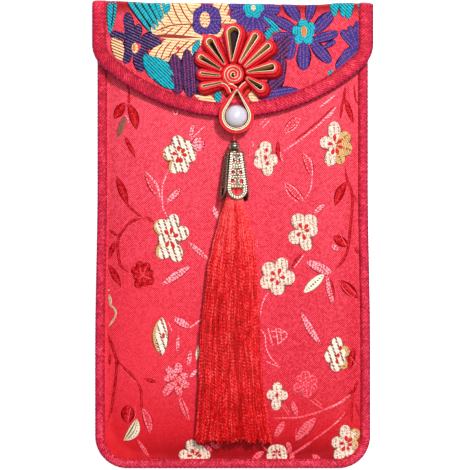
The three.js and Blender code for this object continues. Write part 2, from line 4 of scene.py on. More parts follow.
import bpy
import numpy as np
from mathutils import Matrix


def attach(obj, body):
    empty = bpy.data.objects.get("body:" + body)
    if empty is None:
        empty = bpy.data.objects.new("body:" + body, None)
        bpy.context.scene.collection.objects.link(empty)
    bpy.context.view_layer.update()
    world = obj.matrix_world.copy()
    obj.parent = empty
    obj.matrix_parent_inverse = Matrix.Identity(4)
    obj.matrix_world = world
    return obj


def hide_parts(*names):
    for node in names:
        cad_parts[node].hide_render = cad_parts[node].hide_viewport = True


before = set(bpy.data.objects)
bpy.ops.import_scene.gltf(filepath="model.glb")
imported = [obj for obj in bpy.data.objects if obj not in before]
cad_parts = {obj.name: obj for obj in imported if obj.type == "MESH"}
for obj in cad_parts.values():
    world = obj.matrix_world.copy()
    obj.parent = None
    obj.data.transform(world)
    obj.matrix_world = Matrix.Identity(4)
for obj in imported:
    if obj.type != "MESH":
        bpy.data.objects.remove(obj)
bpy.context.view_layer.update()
mm = 0.001
rng = np.random.default_rng(7)

# Camera, straight above the envelope

photo = {"pixels": 470, "mmPerPixel": 0.3846, "middleX": 232.75, "middleY": 234.0}
# closer: share of the photo's frame, so that the edges lying below sharpZ fall where the photo has them
camera = {"lens": 600.0, "sensor": 36.0, "sharpZ": 6.0, "closer": 0.997}


def onPhoto(px, py):  # a pixel of the photograph, as mm on the envelope
    x = (np.asarray(px, float) - photo["middleX"]) * photo["mmPerPixel"]
    y = (photo["middleY"] - np.asarray(py, float)) * photo["mmPerPixel"]
    return x, y


def makeCamera():
    data = bpy.data.cameras.new("overhead")
    data.lens = camera["lens"]
    data.sensor_width = camera["sensor"]
    view = bpy.data.objects.new("overhead", data)
    span = photo["pixels"] * photo["mmPerPixel"]
    distance = span * camera["closer"] * camera["lens"] / camera["sensor"]
    x, y = onPhoto(photo["pixels"] / 2, photo["pixels"] / 2)
    view.location = (x * mm, y * mm, (distance + camera["sharpZ"]) * mm)
    bpy.context.collection.objects.link(view)
    bpy.context.scene.camera = view


makeCamera()

# Soft studio light on a pale floor

studio = {
    "sky": 0.15, "floorHalf": 1.6, "floorDrop": 0.0003, "floorGlow": 0.8, "floorGreys": (0.93, 0.96),
    "lights": [
        {"name": "softbox", "power": 7.0, "size": 0.8, "place": (0.06, 0.14, 1.35)},
        {"name": "key", "power": 13.8, "size": 0.13, "place": (0.31, 0.55, 1.13)},
    ],
}


def areaLight(name, power, size, place):
    data = bpy.data.lights.new(name, "AREA")
    data.energy = power
    data.size = size
    light = bpy.data.objects.new(name, data)
    light.location = place
    away = -light.location.normalized()
    light.rotation_euler = away.to_track_quat("-Z", "Y").to_euler()
    bpy.context.collection.objects.link(light)


def makeStudio():
    scene = bpy.context.scene
    scene.view_settings.view_transform = "Standard"
    world = bpy.data.worlds.new("paleRoom")
    world.use_nodes = True
    background = world.node_tree.nodes["Background"]
    background.inputs["Color"].default_value = (1, 1, 1, 1)
    background.inputs["Strength"].default_value = studio["sky"]
    scene.world = world
    for light in studio["lights"]:
        areaLight(**light)


makeStudio()
print("camera and light are set")

# Shader values that maths can be written on


class Field:
    def __init__(self, tree, socket):
        self.tree = tree
        self.socket = socket

    def node(self, kind, settings=None, sockets=None, output=0):
        made = self.tree.nodes.new("ShaderNode" + kind)
        for name, value in (settings or {}).items():
            setattr(made, name, value)
        for name, value in (sockets or {}).items():
            if isinstance(value, Field):
                self.tree.links.new(value.socket, made.inputs[name])
            else:
                made.inputs[name].default_value = value
        return Field(self.tree, made.outputs[output])

    def maths(self, operation, *values):
        return self.node("Math", {"operation": operation}, dict(enumerate(values)))

    def __add__(self, other):
        return self.maths("ADD", self, other)

    def __sub__(self, other):
        return self.maths("SUBTRACT", self, other)

    def __rsub__(self, other):
        return self.maths("SUBTRACT", other, self)

    def __mul__(self, other):
        return self.maths("MULTIPLY", self, other)

    def __rmul__(self, other):
        return self.maths("MULTIPLY", other, self)

    def __truediv__(self, other):
        return self.maths("DIVIDE", self, other)

    def sine(self):
        return self.maths("SINE", self)

    def size(self):
        return self.maths("ABSOLUTE", self)

    def larger(self, other):
        return self.maths("MAXIMUM", self, other)

    def step(self, low, high):  # eased from 0 at low to 1 at high
        return self.node("MapRange", {"interpolation_type": "SMOOTHSTEP"},
                         {"Value": self, "From Min": low, "From Max": high})

    def mix(self, low, high):  # the colour low where this is 0, high where it is 1
        return self.node("Mix", {"data_type": "RGBA"}, {0: self, 6: low, 7: high}, 2)

    def part(self, axis):
        return self.node("SeparateXYZ", {}, {0: self}, axis)

    def attribute(self, name, output=2):
        return self.node("Attribute", {"attribute_name": name}, {}, output)

    def noise(self, scale, detail=2.0, roughness=0.5):
        return self.node("TexNoise", {}, {"Vector": self, "Scale": scale, "Detail": detail,
                                          "Roughness": roughness})

    def speck(self, other):  # a random value for each whole pair of numbers
        whole = {0: self.maths("FLOOR", self), 1: self.maths("FLOOR", other)}
        pair = self.node("CombineXYZ", {}, whole)
        return self.node("TexWhiteNoise", {"noise_dimensions": "2D"}, {"Vector": pair})

    def bump(self, strength, distance):
        return self.node("Bump", {}, {"Strength": strength, "Distance": distance, "Height": self})


def dye(red, green, blue):  # a colour as seen, 0 to 255, as light
    shares = [value / 255 for value in (red, green, blue)]
    return (*[s / 12.92 if s <= 0.04045 else ((s + 0.055) / 1.055) ** 2.4 for s in shares], 1.0)


def newFinish(name, constants):  # a material, its shader's inputs and its place on the object
    material = bpy.data.materials.new(name)
    material.use_nodes = True
    tree = material.node_tree
    inputs = tree.nodes["Principled BSDF"].inputs
    for socket, value in constants.items():
        inputs[socket].default_value = value
    place = Field(tree, tree.nodes.new("ShaderNodeTexCoord").outputs["Object"])
    return material, inputs, place


socketNames = {"colour": "Base Color", "rough": "Roughness", "normal": "Normal"}


def feed(inputs, **fields):
    for name, field in fields.items():
        field.tree.links.new(field.socket, inputs[socketNames[name]])


def toned(tone, look, low, high):  # deep to base over the low range, base to light over the high one
    return tone.step(*high).mix(tone.step(*low).mix(look["deep"], look["base"]), look["light"])


turn = 2 * math.pi


def makeFloor():
    half = studio["floorHalf"]
    mesh = bpy.data.meshes.new("floor")
    corners = [(-half, -half), (half, -half), (half, half), (-half, half)]
    mesh.from_pydata([(x, y, -studio["floorDrop"]) for x, y in corners], [], [(0, 1, 2, 3)])
    floor = bpy.data.objects.new("floor", mesh)
    bpy.context.collection.objects.link(floor)
    glow = {"Emission Color": (1, 1, 1, 1), "Emission Strength": studio["floorGlow"]}
    material, inputs, place = newFinish("paleFloor", {"Specular IOR Level": 0.1, **glow})
    grain = place.noise(40.0)
    low, high = [(grey, grey, grey, 1) for grey in studio["floorGreys"]]
    feed(inputs, colour=grain.mix(low, high), rough=grain * 0.1 + 0.8)
    mesh.materials.append(material)


makeFloor()

# Meshes from arrays of points in mm


def ease(value, low, high):
    share = np.clip((np.asarray(value, float) - low) / (high - low), 0, 1)
    return share * share * (3 - 2 * share)


def between(low, high, share):
    return low + (high - low) * share


def gridQuads(rows, columns, closeRows=False, closeColumns=False):
    r = np.arange(rows if closeRows else rows - 1)[:, None]
    c = np.arange(columns if closeColumns else columns - 1)[None, :]
    nextRow = (r + 1) % rows
    nextColumn = (c + 1) % columns
    corners = [r * columns + c, r * columns + nextColumn,
               nextRow * columns + nextColumn, nextRow * columns + c]
    return np.stack([np.broadcast_to(k, (len(r), c.size)) for k in corners], -1).reshape(-1, 4)


def loft(rings, closedPath=False):  # rings of equal size, joined into a closed skin that faces out
    rings = np.asarray(rings, float)
    count, size = rings.shape[:2]
    points = rings.reshape(-1, 3)
    quads = gridQuads(count, size, closedPath, True)
    a, b, c, d = (points[quads[:, k]] for k in range(4))
    outward = np.sum(a * (np.cross(b, c) + np.cross(c, d)))
    faces = quads.tolist()
    if not closedPath:
        first = list(range(size))[::-1]
        last = list(range((count - 1) * size, count * size))
        faces += [first, last]
    if outward < 0:
        faces = [face[::-1] for face in faces]
    return points, faces


def joined(parts):  # several skins as one
    points, faces, start = [], [], 0
    for partPoints, partFaces in parts:
        points.append(partPoints)
        faces += [[k + start for k in face] for face in partFaces]
        start += len(partPoints)
    return np.concatenate(points), faces


def makePiece(name, skin, materials, fields=None, faceMaterials=None):
    points, faces = skin
    mesh = bpy.data.meshes.new(name)
    mesh.from_pydata((np.asarray(points) * mm).tolist(), [], faces)
    for material in materials:
        mesh.materials.append(material)
    if faceMaterials is not None:
        mesh.polygons.foreach_set("material_index", np.asarray(faceMaterials, np.int32))
    for field, values in (fields or {}).items():
        data = mesh.attributes.new(field, "FLOAT", "POINT").data
        data.foreach_set("value", np.asarray(values, np.float32).ravel())
    mesh.polygons.foreach_set("use_smooth", np.ones(len(mesh.polygons), bool))
    mesh.update()
    piece = bpy.data.objects.new(name, mesh)
    bpy.context.collection.objects.link(piece)
    return piece


def settle(piece, slot, *nodes):
    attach(piece, "root")
    if nodes:
        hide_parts(*nodes)
    print(piece.name, len(piece.data.polygons), "faces")
    return piece


def sheetSkin(upper, lower):  # two grids of points, closed round their border
    rows, columns = upper.shape[:2]
    top = gridQuads(rows, columns)
    count = rows * columns
    border = np.concatenate([
        np.arange(columns), np.arange(1, rows) * columns + columns - 1,
        (rows - 1) * columns + np.arange(columns - 2, -1, -1), np.arange(rows - 2, 0, -1) * columns,
    ])
    following = np.roll(border, -1)
    rim = np.stack([border, border + count, following + count, following], -1)
    a, b, d = upper[0, 0], upper[0, 1], upper[1, 0]
    if np.cross(b - a, d - a)[2] < 0:
        top, rim = top[:, ::-1], rim[:, ::-1]
    faces = np.concatenate([top, top[:, ::-1] + count, rim[:, ::-1]]).tolist()
    return np.concatenate([upper.reshape(-1, 3), lower.reshape(-1, 3)]), faces


# Shape of the pouch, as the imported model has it, mm

cloth = {"thickness": 1.0, "gap": 0.15}
ribbon = {"thickness": 1.0, "bodyWidth": 3.8, "flapWidth": 5.6}
pouch = {"halfHeight": 90.0, "upperHalf": 52.0, "lowerHalf": 52.9, "corner": 12.5}
front = {"mouthY": 76.0, "sideRise": 18.0, "bottomRise": 30.0, "cornerBlend": 0.5,
         "crownY": [76, 68, 55, 38, -90], "crownZ": [6.7, 7.4, 7.9, 8.2, 8.2]}
back = {"topY": 79.85, "sideMargin": 14.0, "topMargin": 6.0}

backRimZ = ribbon["thickness"] + cloth["gap"]
frontRimZ = backRimZ + cloth["thickness"] + cloth["gap"]
bindingTopZ = frontRimZ + cloth["thickness"] + cloth["gap"] + ribbon["thickness"]
sheetInset = ribbon["thickness"] + cloth["gap"]
slotInset = ribbon["bodyWidth"] + cloth["gap"]
cornerY = pouch["corner"] - pouch["halfHeight"]


def halfWidthAt(y):
    return between(pouch["upperHalf"], pouch["lowerHalf"], ease(-np.asarray(y, float), -20, 45))


def easedTable(tableY, values, y):  # value at y, eased between rows that fall in y
    tableY = np.asarray(tableY, float)
    values = np.asarray(values, float)
    y = np.clip(np.asarray(y, float), tableY[-1], tableY[0])
    k = np.clip(np.searchsorted(-tableY, -y, side="right"), 1, len(tableY) - 1)
    share = (tableY[k - 1] - y) / (tableY[k - 1] - tableY[k])
    return between(values[k - 1], values[k], share * share * (3 - 2 * share))


def frontTop(x, y):
    fromSide = (halfWidthAt(y) - np.abs(x) - slotInset) / front["sideRise"]
    fromBottom = (y + pouch["halfHeight"] - slotInset) / front["bottomRise"]
    nearest = (fromSide + fromBottom - np.hypot(fromSide - fromBottom, front["cornerBlend"])) / 2
    swell = 1 - (1 - np.clip(nearest, 0, 1)) ** 2
    return between(frontRimZ + cloth["thickness"], easedTable(front["crownY"], front["crownZ"], y), swell)


# Creases that the stitching pulls into the front, in pixels, mostly under the flap's right end
creases = [
    # from px, py, to px, py, height mm, width mm
    (352, 84, 338, 121, -0.55, 0.9),
    (350, 86, 352, 124, -0.5, 0.8),
    (340, 92, 318, 106, 0.5, 1.1),
    (338, 106, 306, 136, 0.38, 0.8),
    (354, 84, 359, 108, -0.35, 0.7),
    (346, 168, 352, 206, -0.3, 0.8),
    (127, 84, 129, 102, -0.3, 0.8),
    (357, 382, 338, 404, 0.4, 0.9),
    (352, 386, 350, 418, -0.4, 0.9),
    (347, 408, 326, 431, 0.3, 0.8),
    (116, 356, 109, 420, -0.3, 0.8),
]
pucker = {"height": 0.16, "pitch": 7.5, "reach": 9.0, "ripple": 0.05}


def frontRelief(x, y):
    x = np.asarray(x, float)
    y = np.asarray(y, float)
    height = np.zeros(np.broadcast(x, y).shape)
    for fromX, fromY, toX, toY, rise, width in creases:
        ax, ay = onPhoto(fromX, fromY)
        bx, by = onPhoto(toX, toY)
        length = np.hypot(bx - ax, by - ay)
        share = ((x - ax) * (bx - ax) + (y - ay) * (by - ay)) / length ** 2
        along = np.clip(share, 0, 1)
        distance = np.hypot(x - ax - along * (bx - ax), y - ay - along * (by - ay))
        height += rise * np.exp(-(distance / width) ** 2) * ease(1.1 - share, 0, 0.8)
    fromEdge = np.minimum(halfWidthAt(y) - np.abs(x), y + pouch["halfHeight"]) - slotInset
    alongEdge = np.where(halfWidthAt(y) - np.abs(x) < y + pouch["halfHeight"], y, x)
    wave = np.sin(turn * alongEdge / pucker["pitch"] + 1.3 * np.sin(alongEdge / 5.3))
    height += pucker["height"] * wave * np.exp(-np.clip(fromEdge, 0, None) / pucker["reach"] * 2.2)
    height += pucker["ripple"] * np.sin(0.31 * x + 0.9 * np.sin(0.17 * y)) * np.sin(0.23 * y + 0.4)
    return height * ease(fromEdge, -1.0, 1.5)


def frontSurface(x, y):
    return frontTop(x, y) + frontRelief(x, y)


def backUnder(x, y):
    fromSide = halfWidthAt(y) - np.abs(x) - slotInset
    fromBottom = y + pouch["halfHeight"] - slotInset
    flat = np.minimum(ease(np.minimum(fromSide, fromBottom), 0, back["sideMargin"]),
                      ease(back["topY"] - y, 0, back["topMargin"]))
    return backRimZ * (1 - flat)


def panelGrid(topY, columns, rows):  # flat points of a panel inside its binding
    y = np.linspace(topY, -pouch["halfHeight"] + sheetInset, rows)
    radius = pouch["corner"] - sheetInset
    below = np.clip(cornerY - y, 0, radius)
    cornerX = halfWidthAt(cornerY) - pouch["corner"]
    half = np.where(y > cornerY, halfWidthAt(y) - sheetInset, cornerX + np.sqrt(radius ** 2 - below ** 2))
    x = half[:, None] * np.linspace(-1, 1, columns)[None, :]
    return x, np.broadcast_to(y[:, None], x.shape)


# Brocade grounds

# Each ground also holds painted light and shade: darker at the pouch's foot and the flap's fold, paler
# above
groundLooks = {
    "pouchGround": {"light": dye(252, 100, 120), "base": dye(229, 34, 58), "deep": dye(180, 0, 24),
                    "pitch": 0.85, "float": 1.0, "twill": 0.38, "slope": 1.0, "dark": dye(212, 0, 4),
                    "paintedShadeY": (-46.0, -88.0), "share": 0.72, "paintedHemShadow": 0.62, "pale": 0.34, "paintedLightBalance": 0.6},
    "flapGround": {"light": dye(255, 112, 130), "base": dye(232, 46, 72), "deep": dye(180, 2, 26),
                   "pitch": 0.9, "float": 1.1, "twill": 0.24, "slope": -0.8, "dark": dye(150, 0, 4),
                   "paintedShadeY": (83.0, 87.0), "share": 0.85, "paintedHemShadow": 0.0, "pale": 0.0, "paintedLightBalance": 0.0},
}
# Where the pouch's painted light and painted shade come in, mm, and their colours
paintedLightAndShade = {"paintedLightY": (-70.0, 80.0), "paintedShadeRightX": (0.0, 45.0), "paintedLeftX": (5.0, -45.0), "paintedLeftY": (15.0, -45.0),
          "paintedHemShadowX": (-52.0, -12.0), "paintedHemShadowY": (-74.0, -87.0), "left": dye(255, 62, 78), "paintedHemShadow": dye(112, 0, 4)}


def brocadeGround(name):
    look = groundLooks[name]
    material, inputs, place = newFinish(name, {"Specular IOR Level": 0.14, "Anisotropic": 0.3})
    x = place.part(0) / mm
    y = place.part(1) / mm
    line = (x - look["slope"] * y) / look["pitch"] + place.noise(260.0) * 0.4
    twill = (line * turn).sine()
    floats = line.speck((x + look["slope"] * y) / look["float"])
    yarn = place.noise(1550.0, 2.0, 0.7)
    cloud = place.noise(90.0, 3.0)
    tone = twill * look["twill"] + (floats - 0.5) * 0.36 + (yarn - 0.5) * 0.9 + (cloud - 0.5) * 0.1 + 0.39
    # painted light: the ground paler towards the top
    tone = tone + y.step(*paintedLightAndShade["paintedLightY"]) * look["pale"]
    # painted shade: the ground darker towards the right
    tone = tone - x.step(*paintedLightAndShade["paintedShadeRightX"]) * (look["paintedLightBalance"] * 0.07)
    # painted light: the lower left lifted towards a brighter red
    left = x.step(*paintedLightAndShade["paintedLeftX"]) * y.step(*paintedLightAndShade["paintedLeftY"]) * (twill * 0.34 + yarn * 1.2 + 0.2)
    # painted shade: darker red towards the pouch's foot, and on the flap towards its fold
    foot = y.step(*look["paintedShadeY"]) * look["share"]
    # painted shadow below the tassel's end and along the binding at the foot
    paintedHemShadow = y.step(*paintedLightAndShade["paintedHemShadowY"]) * x.step(*paintedLightAndShade["paintedHemShadowX"]) * look["paintedHemShadow"]
    colour = (left * look["paintedLightBalance"]).mix(toned(tone, look, (-0.2, 0.6), (0.3, 1.2)), paintedLightAndShade["left"])
    colour = paintedHemShadow.mix(foot.mix(colour, look["dark"]), paintedLightAndShade["paintedHemShadow"])
    height = twill * 0.4 + yarn * 0.5
    feed(inputs, colour=colour, rough=yarn * 0.25 + 0.38, normal=height.bump(0.5, 0.00018))
    return material


pouchGround = brocadeGround("pouchGround")
flapGround = brocadeGround("flapGround")

panelGrain = {"columns": 140, "frontRows": 214, "backRows": 130, "backColumns": 84}


def makeFront():
    x, y = panelGrid(front["mouthY"], panelGrain["columns"], panelGrain["frontRows"])
    upper = np.stack([x, y, frontSurface(x, y)], -1)
    lower = np.stack([x, y, frontTop(x, y) - cloth["thickness"]], -1)
    piece = makePiece("front_cloth", sheetSkin(upper, lower), [pouchGround])
    return settle(piece, "brocade", "front_panel")


def makeBack():
    x, y = panelGrid(back["topY"], panelGrain["backColumns"], panelGrain["backRows"])
    under = backUnder(x, y)
    upper = np.stack([x, y, under + cloth["thickness"]], -1)
    lower = np.stack([x, y, under], -1)
    piece = makePiece("back_cloth", sheetSkin(upper, lower), [pouchGround])
    return settle(piece, "brocade", "back_panel")


frontCloth = makeFront()
backCloth = makeBack()

# Flap: cut flat, folded over the mouth

flap = {"half": 54.0, "tailY": 80.15, "arc": 74.0, "lowestY": 44.6, "corner": 12.0,
        "sideZ": 6.2, "crownRise": 3.9, "crownLength": 30.0, "columns": 170, "rows": 110, "puff": 0.85,
        "leanX": [-54, -20, 28, 40, 54], "lean": [-0.3, 0.0, -0.9, -0.8, -1.4]}
foldInner = (flap["sideZ"] - backRimZ - cloth["thickness"]) / 2
foldZ = flap["sideZ"] - foldInner
foldY = pouch["halfHeight"] - foldInner - cloth["thickness"] - cloth["gap"] - ribbon["thickness"]
foldLength = math.pi * (foldInner + cloth["thickness"] / 2)
flapEnd = foldY + foldLength + foldY - flap["tailY"]
arcY = flap["lowestY"] + flap["arc"]
flapCornerX = flap["half"] - flap["corner"]
flapCornerY = arcY - math.sqrt((flap["arc"] - flap["corner"]) ** 2 - flapCornerX ** 2)
flapCornerTurn = math.atan2(arcY - flapCornerY, flapCornerX)


def flapUnder(x, y):
    crown = flap["crownRise"] * ease(foldY - np.asarray(y, float), 0, flap["crownLength"])
    return flap["sideZ"] + crown * (1 - (np.asarray(x, float) / flap["half"]) ** 4)


def flapPoint(x, v, level, puff=0.0):  # place of a point of the flat flap, at a level above its inner face
    x, v, level = np.broadcast_arrays(np.asarray(x, float), np.asarray(v, float), np.asarray(level, float))
    past = np.clip(v - foldY, 0, None)
    angle = math.pi * np.clip(past / foldLength, 0, 1)
    tail = np.clip(past - foldLength, 0, None)
    full = np.interp(x, flap["leanX"], flap["lean"]) + puff * ease(np.abs(x), 30, 46)
    radius = foldInner + level + full * np.sin(angle) ** 2
    y = np.where(v <= foldY, v, foldY + radius * np.sin(angle) - tail)
    z = np.where(v <= foldY, flapUnder(x, np.minimum(v, foldY)) + level, foldZ + radius * np.cos(angle))
    return np.stack([x, y, z], -1)


def flapLowest(x, inset):  # lower edge of the flap, set in from its outline
    out = np.abs(x) - flapCornerX
    radius = flap["corner"] - inset
    corner = flapCornerY - np.sqrt(np.clip(radius ** 2 - out ** 2, 0, None))
    arc = arcY - np.sqrt((flap["arc"] - inset) ** 2 - np.asarray(x, float) ** 2)
    return np.where(out > radius * math.cos(flapCornerTurn), corner, arc)


def makeFlap():
    x = (flap["half"] - sheetInset) * np.sin(np.linspace(-math.pi / 2, math.pi / 2, flap["columns"]))
    lowest = flapLowest(x, sheetInset)
    share = np.linspace(0, 1, flap["rows"])
    v = between(lowest[:, None], flapEnd, share[None, :])
    across = np.broadcast_to(x[:, None], v.shape)
    ripple = 0.06 * np.sin(0.4 * across + 0.8 * np.sin(0.21 * v)) * np.sin(0.33 * v)
    upper = flapPoint(across, v, cloth["thickness"] + ripple * ease(foldY - v, 0, 10), flap["puff"])
    lower = flapPoint(across, v, 0.0, flap["puff"])
    depth = flapEnd - lowest
    area = float(np.sum((depth[1:] + depth[:-1]) / 2 * np.diff(x))) * mm * mm
    piece = makePiece("flap_cloth", sheetSkin(upper, lower), [flapGround])
    return settle(piece, "flap_brocade", "flap"), area


flapCloth, flapArea = makeFlap()

# Ribbon bindings, carried round the pouch and round the flap

ribbonLook = {"light": dye(255, 92, 118), "base": dye(212, 14, 48), "deep": dye(142, 0, 40),
              "paintedEdgeShade": dye(190, 24, 88), "shade": dye(92, 0, 44), "rib": 1.15, "lean": 0.9, "picot": 1.93}
ribbonRelief = {"step": 0.5, "curl": 0.05, "ruche": 0.09, "ruchePitch": 1.7,
                "scallop": 0.12, "scallopPitch": 1.4}


def ribbonFinish():
    material, inputs, place = newFinish("ribbonWeave", {"Specular IOR Level": 0.22})
    along = place.attribute("along")
    around = place.attribute("around")
    loft = place.attribute("loft")
    wander = place.noise(700.0) * 6.0
    ribs = ((along + ribbonLook["lean"] * around) * (turn / ribbonLook["rib"]) + wander).sine()
    curl = place.noise(1700.0, 3.0, 0.7)
    cloud = place.noise(160.0, 2.0)
    # painted light: the ribbon lighter towards the pouch's foot
    foot = (place.part(1) / mm).step(-60.0, -88.0)
    # painted highlight along the middle of the ribbon's rolled top
    crown = place.attribute("crown")
    tone = loft * 0.1 + ribs * 0.2 + (curl - 0.5) * 2.2 + (cloud - 0.5) * 0.25
    tone = tone + foot * 0.1 + crown * 0.3 + 0.2
    colour = toned(tone, ribbonLook, (-0.1, 0.55), (0.45, 1.15))
    outward = place.attribute("outward")
    picot = outward.step(0.66, 0.88) * (along * (turn / ribbonLook["picot"])).sine().step(-0.2, 0.5)
    # painted shade: darker purple towards the ribbon's outer edge, where it rolls away
    colour = (outward * 0.3).mix(colour, ribbonLook["paintedEdgeShade"])
    height = ribs * 0.8 + curl * 1.4
    feed(inputs, colour=picot.mix(colour, ribbonLook["shade"]), rough=curl * 0.2 + 0.5,
         normal=height.bump(0.4, 0.00014))
    return material


ribbonWeave = ribbonFinish()


def roundEdge(x, y, radius, start, end, step):  # points of an arc, each with its way inward
    angles = math.pi + np.linspace(start, end, int(radius * (end - start) / step) + 2)
    ways = [(math.cos(angle), math.sin(angle)) for angle in angles]
    return [(x + radius * c, y + radius * s, -c, -s) for c, s in ways]


def wholeEdge(left, lowest):  # the left half of an edge, its lowest point and the right half
    left = np.array(left, float)
    return np.concatenate([left, [[0, lowest, 0, 1.0]], left[::-1] * [-1, 1, -1, 1]])


def bodyPath(topY, step):
    left = [(-halfWidthAt(y), y, 1.0, 0.0) for y in np.arange(topY, cornerY, -step)]
    cornerX = halfWidthAt(cornerY) - pouch["corner"]
    left += roundEdge(-cornerX, cornerY, pouch["corner"], 0, math.pi / 2, step)
    foot = np.linspace(-cornerX, 0, int(cornerX / step) + 2)[1:-1]
    left += [(x, -pouch["halfHeight"], 0.0, 1.0) for x in foot]
    return wholeEdge(left, -pouch["halfHeight"])


def flapPath(step):
    left = [(-flap["half"], v, 1.0, 0.0) for v in np.arange(flapEnd, flapCornerY, -step)]
    left += roundEdge(-flapCornerX, flapCornerY, flap["corner"], 0, flapCornerTurn, step)
    left += roundEdge(0, arcY, flap["arc"], flapCornerTurn, math.pi / 2, step)[1:-1]
    return wholeEdge(left, flap["lowestY"])


# Half of a folded ribbon's section: share of its width, and height above its middle as a share of half
ribbonHalf = [(0.0, 0.0), (0.0, 0.42), (0.012, 0.62), (0.05, 0.8), (0.13, 0.93), (0.24, 0.985),
              (0.38, 1.02), (0.54, 1.03), (0.7, 1.025), (0.84, 1.0), (0.94, 0.95), (0.985, 0.85),
              (1.0, 0.72)]


def ribbonSection(width, low, high):  # outer skin from lip to lip, then back along the inner skin
    middle = (low + high) / 2
    half = (high - low) / 2
    upper = [(inset * width, middle + rise * half) for inset, rise in ribbonHalf]
    lower = [(inset, max(2 * middle - level, low)) for inset, level in upper]
    outer = lower[::-1] + upper[1:]
    slot = ribbon["thickness"]
    inner = [(width * 0.99, high - slot), (width * 0.6, high - slot), (slot, high - slot),
             (slot, low + slot), (width * 0.6, low + slot), (width * 0.99, low + slot)]
    return np.array(outer + inner), len(outer)


def smoothed(noise, passes):
    for _ in range(passes):
        noise = (noise + np.roll(noise, 1, 0) + np.roll(noise, -1, 0)) / 3
        noise[:, 1:-1] = (noise[:, 1:-1] + noise[:, :-2] + noise[:, 2:]) / 3
    return noise / noise.std()


def bindingPiece(name, path, width, low, high, place, node, paintedShade=0.0):
    section, outerCount = ribbonSection(width, low, high)
    along = np.concatenate([[0], np.cumsum(np.hypot(*np.diff(path[:, :2], axis=0).T))])
    around = np.concatenate([[0], np.cumsum(np.hypot(*np.diff(section, axis=0).T))])
    onOuter = np.arange(len(section)) < outerCount
    rise = (section[:, 1] - (low + high) / 2) / ((high - low) / 2)
    topShare = np.where(onOuter, np.clip(rise, 0, 1), 0)
    curl = smoothed(rng.normal(size=(len(path), len(section))), 1)
    ruche = np.sin(turn * along / ribbonRelief["ruchePitch"] + 1.7 * np.sin(along / 3.1))[:, None]
    gather = 0.45 + 0.55 * np.sin(along / 17.0 + 1.0)[:, None] ** 2
    lift = (ribbonRelief["curl"] * curl + ribbonRelief["ruche"] * ruche * gather) * topShare
    scallop = np.abs(np.sin(math.pi * along / ribbonRelief["scallopPitch"]))[:, None]
    notch = ribbonRelief["scallop"] * scallop * np.clip(1 - section[:, 0] / 0.8, 0, 1)
    inset = section[:, 0] + np.where(onOuter, notch, 0)
    level = section[:, 1] + lift
    x = path[:, :1] + inset * path[:, 2:3]
    y = path[:, 1:2] + inset * path[:, 3:4]
    skin = loft(place(x, y, level))
    fields = {
        "along": np.broadcast_to(along[:, None], x.shape),
        "around": np.broadcast_to(around[None, :], x.shape),
        # loft: tone that follows the ribbon's curl and ruche, less the painted shade given to the piece
        "loft": curl * np.where(onOuter, 1, 0) + 0.6 * ruche * gather - paintedShade,
        # crown: where the painted highlight lies across the ribbon's top
        "crown": np.broadcast_to(np.where(onOuter, 1 - (2 * section[:, 0] / width - 1) ** 2, 0), x.shape),
        "outward": np.broadcast_to(np.where(onOuter, np.clip(1 - section[:, 0] / 2.4, 0, 1), 0), x.shape),
    }
    return settle(makePiece(name, skin, [ribbonWeave], fields), "ribbon", node)


def onPlane(x, y, level):
    return np.stack([x, y, np.broadcast_to(level, x.shape)], -1)


edgeRibbon = bindingPiece("edge_ribbon", bodyPath(back["topY"], ribbonRelief["step"]),
                          ribbon["bodyWidth"], 0.0, bindingTopZ, onPlane, "edge_binding")
flapRibbonLow = -cloth["gap"] - ribbon["thickness"]
flapRibbonHigh = cloth["thickness"] - flapRibbonLow
flapLine = flapPath(ribbonRelief["step"])
# painted shade: the flap's ribbon darker along its left arc and at its right end
flapPaintedShade = {"left": 1.5, "paintedLeftX": (-4, -36), "paintedLeftY": (82, 68), "right": 1.0, "paintedShadeRightX": (46, 52)}
flapLeftPaintedShade = ease(flapLine[:, :1], *flapPaintedShade["paintedLeftX"]) * ease(flapLine[:, 1:2], *flapPaintedShade["paintedLeftY"])
flapRightPaintedShade = ease(flapLine[:, :1], *flapPaintedShade["paintedShadeRightX"])
flapRibbon = bindingPiece("flap_ribbon", flapLine, ribbon["flapWidth"], flapRibbonLow, flapRibbonHigh,
                          flapPoint, "flap_binding",
                          flapPaintedShade["left"] * flapLeftPaintedShade + flapPaintedShade["right"] * flapRightPaintedShade)

# Woven motifs: each one a low cushion of floating threads along a spine, charted in pixels

# One look per thread: its colour, the lines woven over it, its rim, the strength and pitch of the floats
# across, the rim's width and the shine. Some have more: dashes (margin, width and pitch of dashed lines
# along), rows (pitch of lines along), columns (lean, pitch, tick and strength of ticks in columns),
# slant (lean, pitch, strength and threshold of stripes), twist of the floats, fleck, and painted shade at
# the foot


def thread(colour, line, rim, hatch, pitch, edge, shine, **more):
    dyes = {"colour": dye(*colour), "line": dye(*line), "rim": dye(*rim)}
    return {**dyes, "hatch": hatch, "pitch": pitch, "edge": edge, "shine": shine, **more}


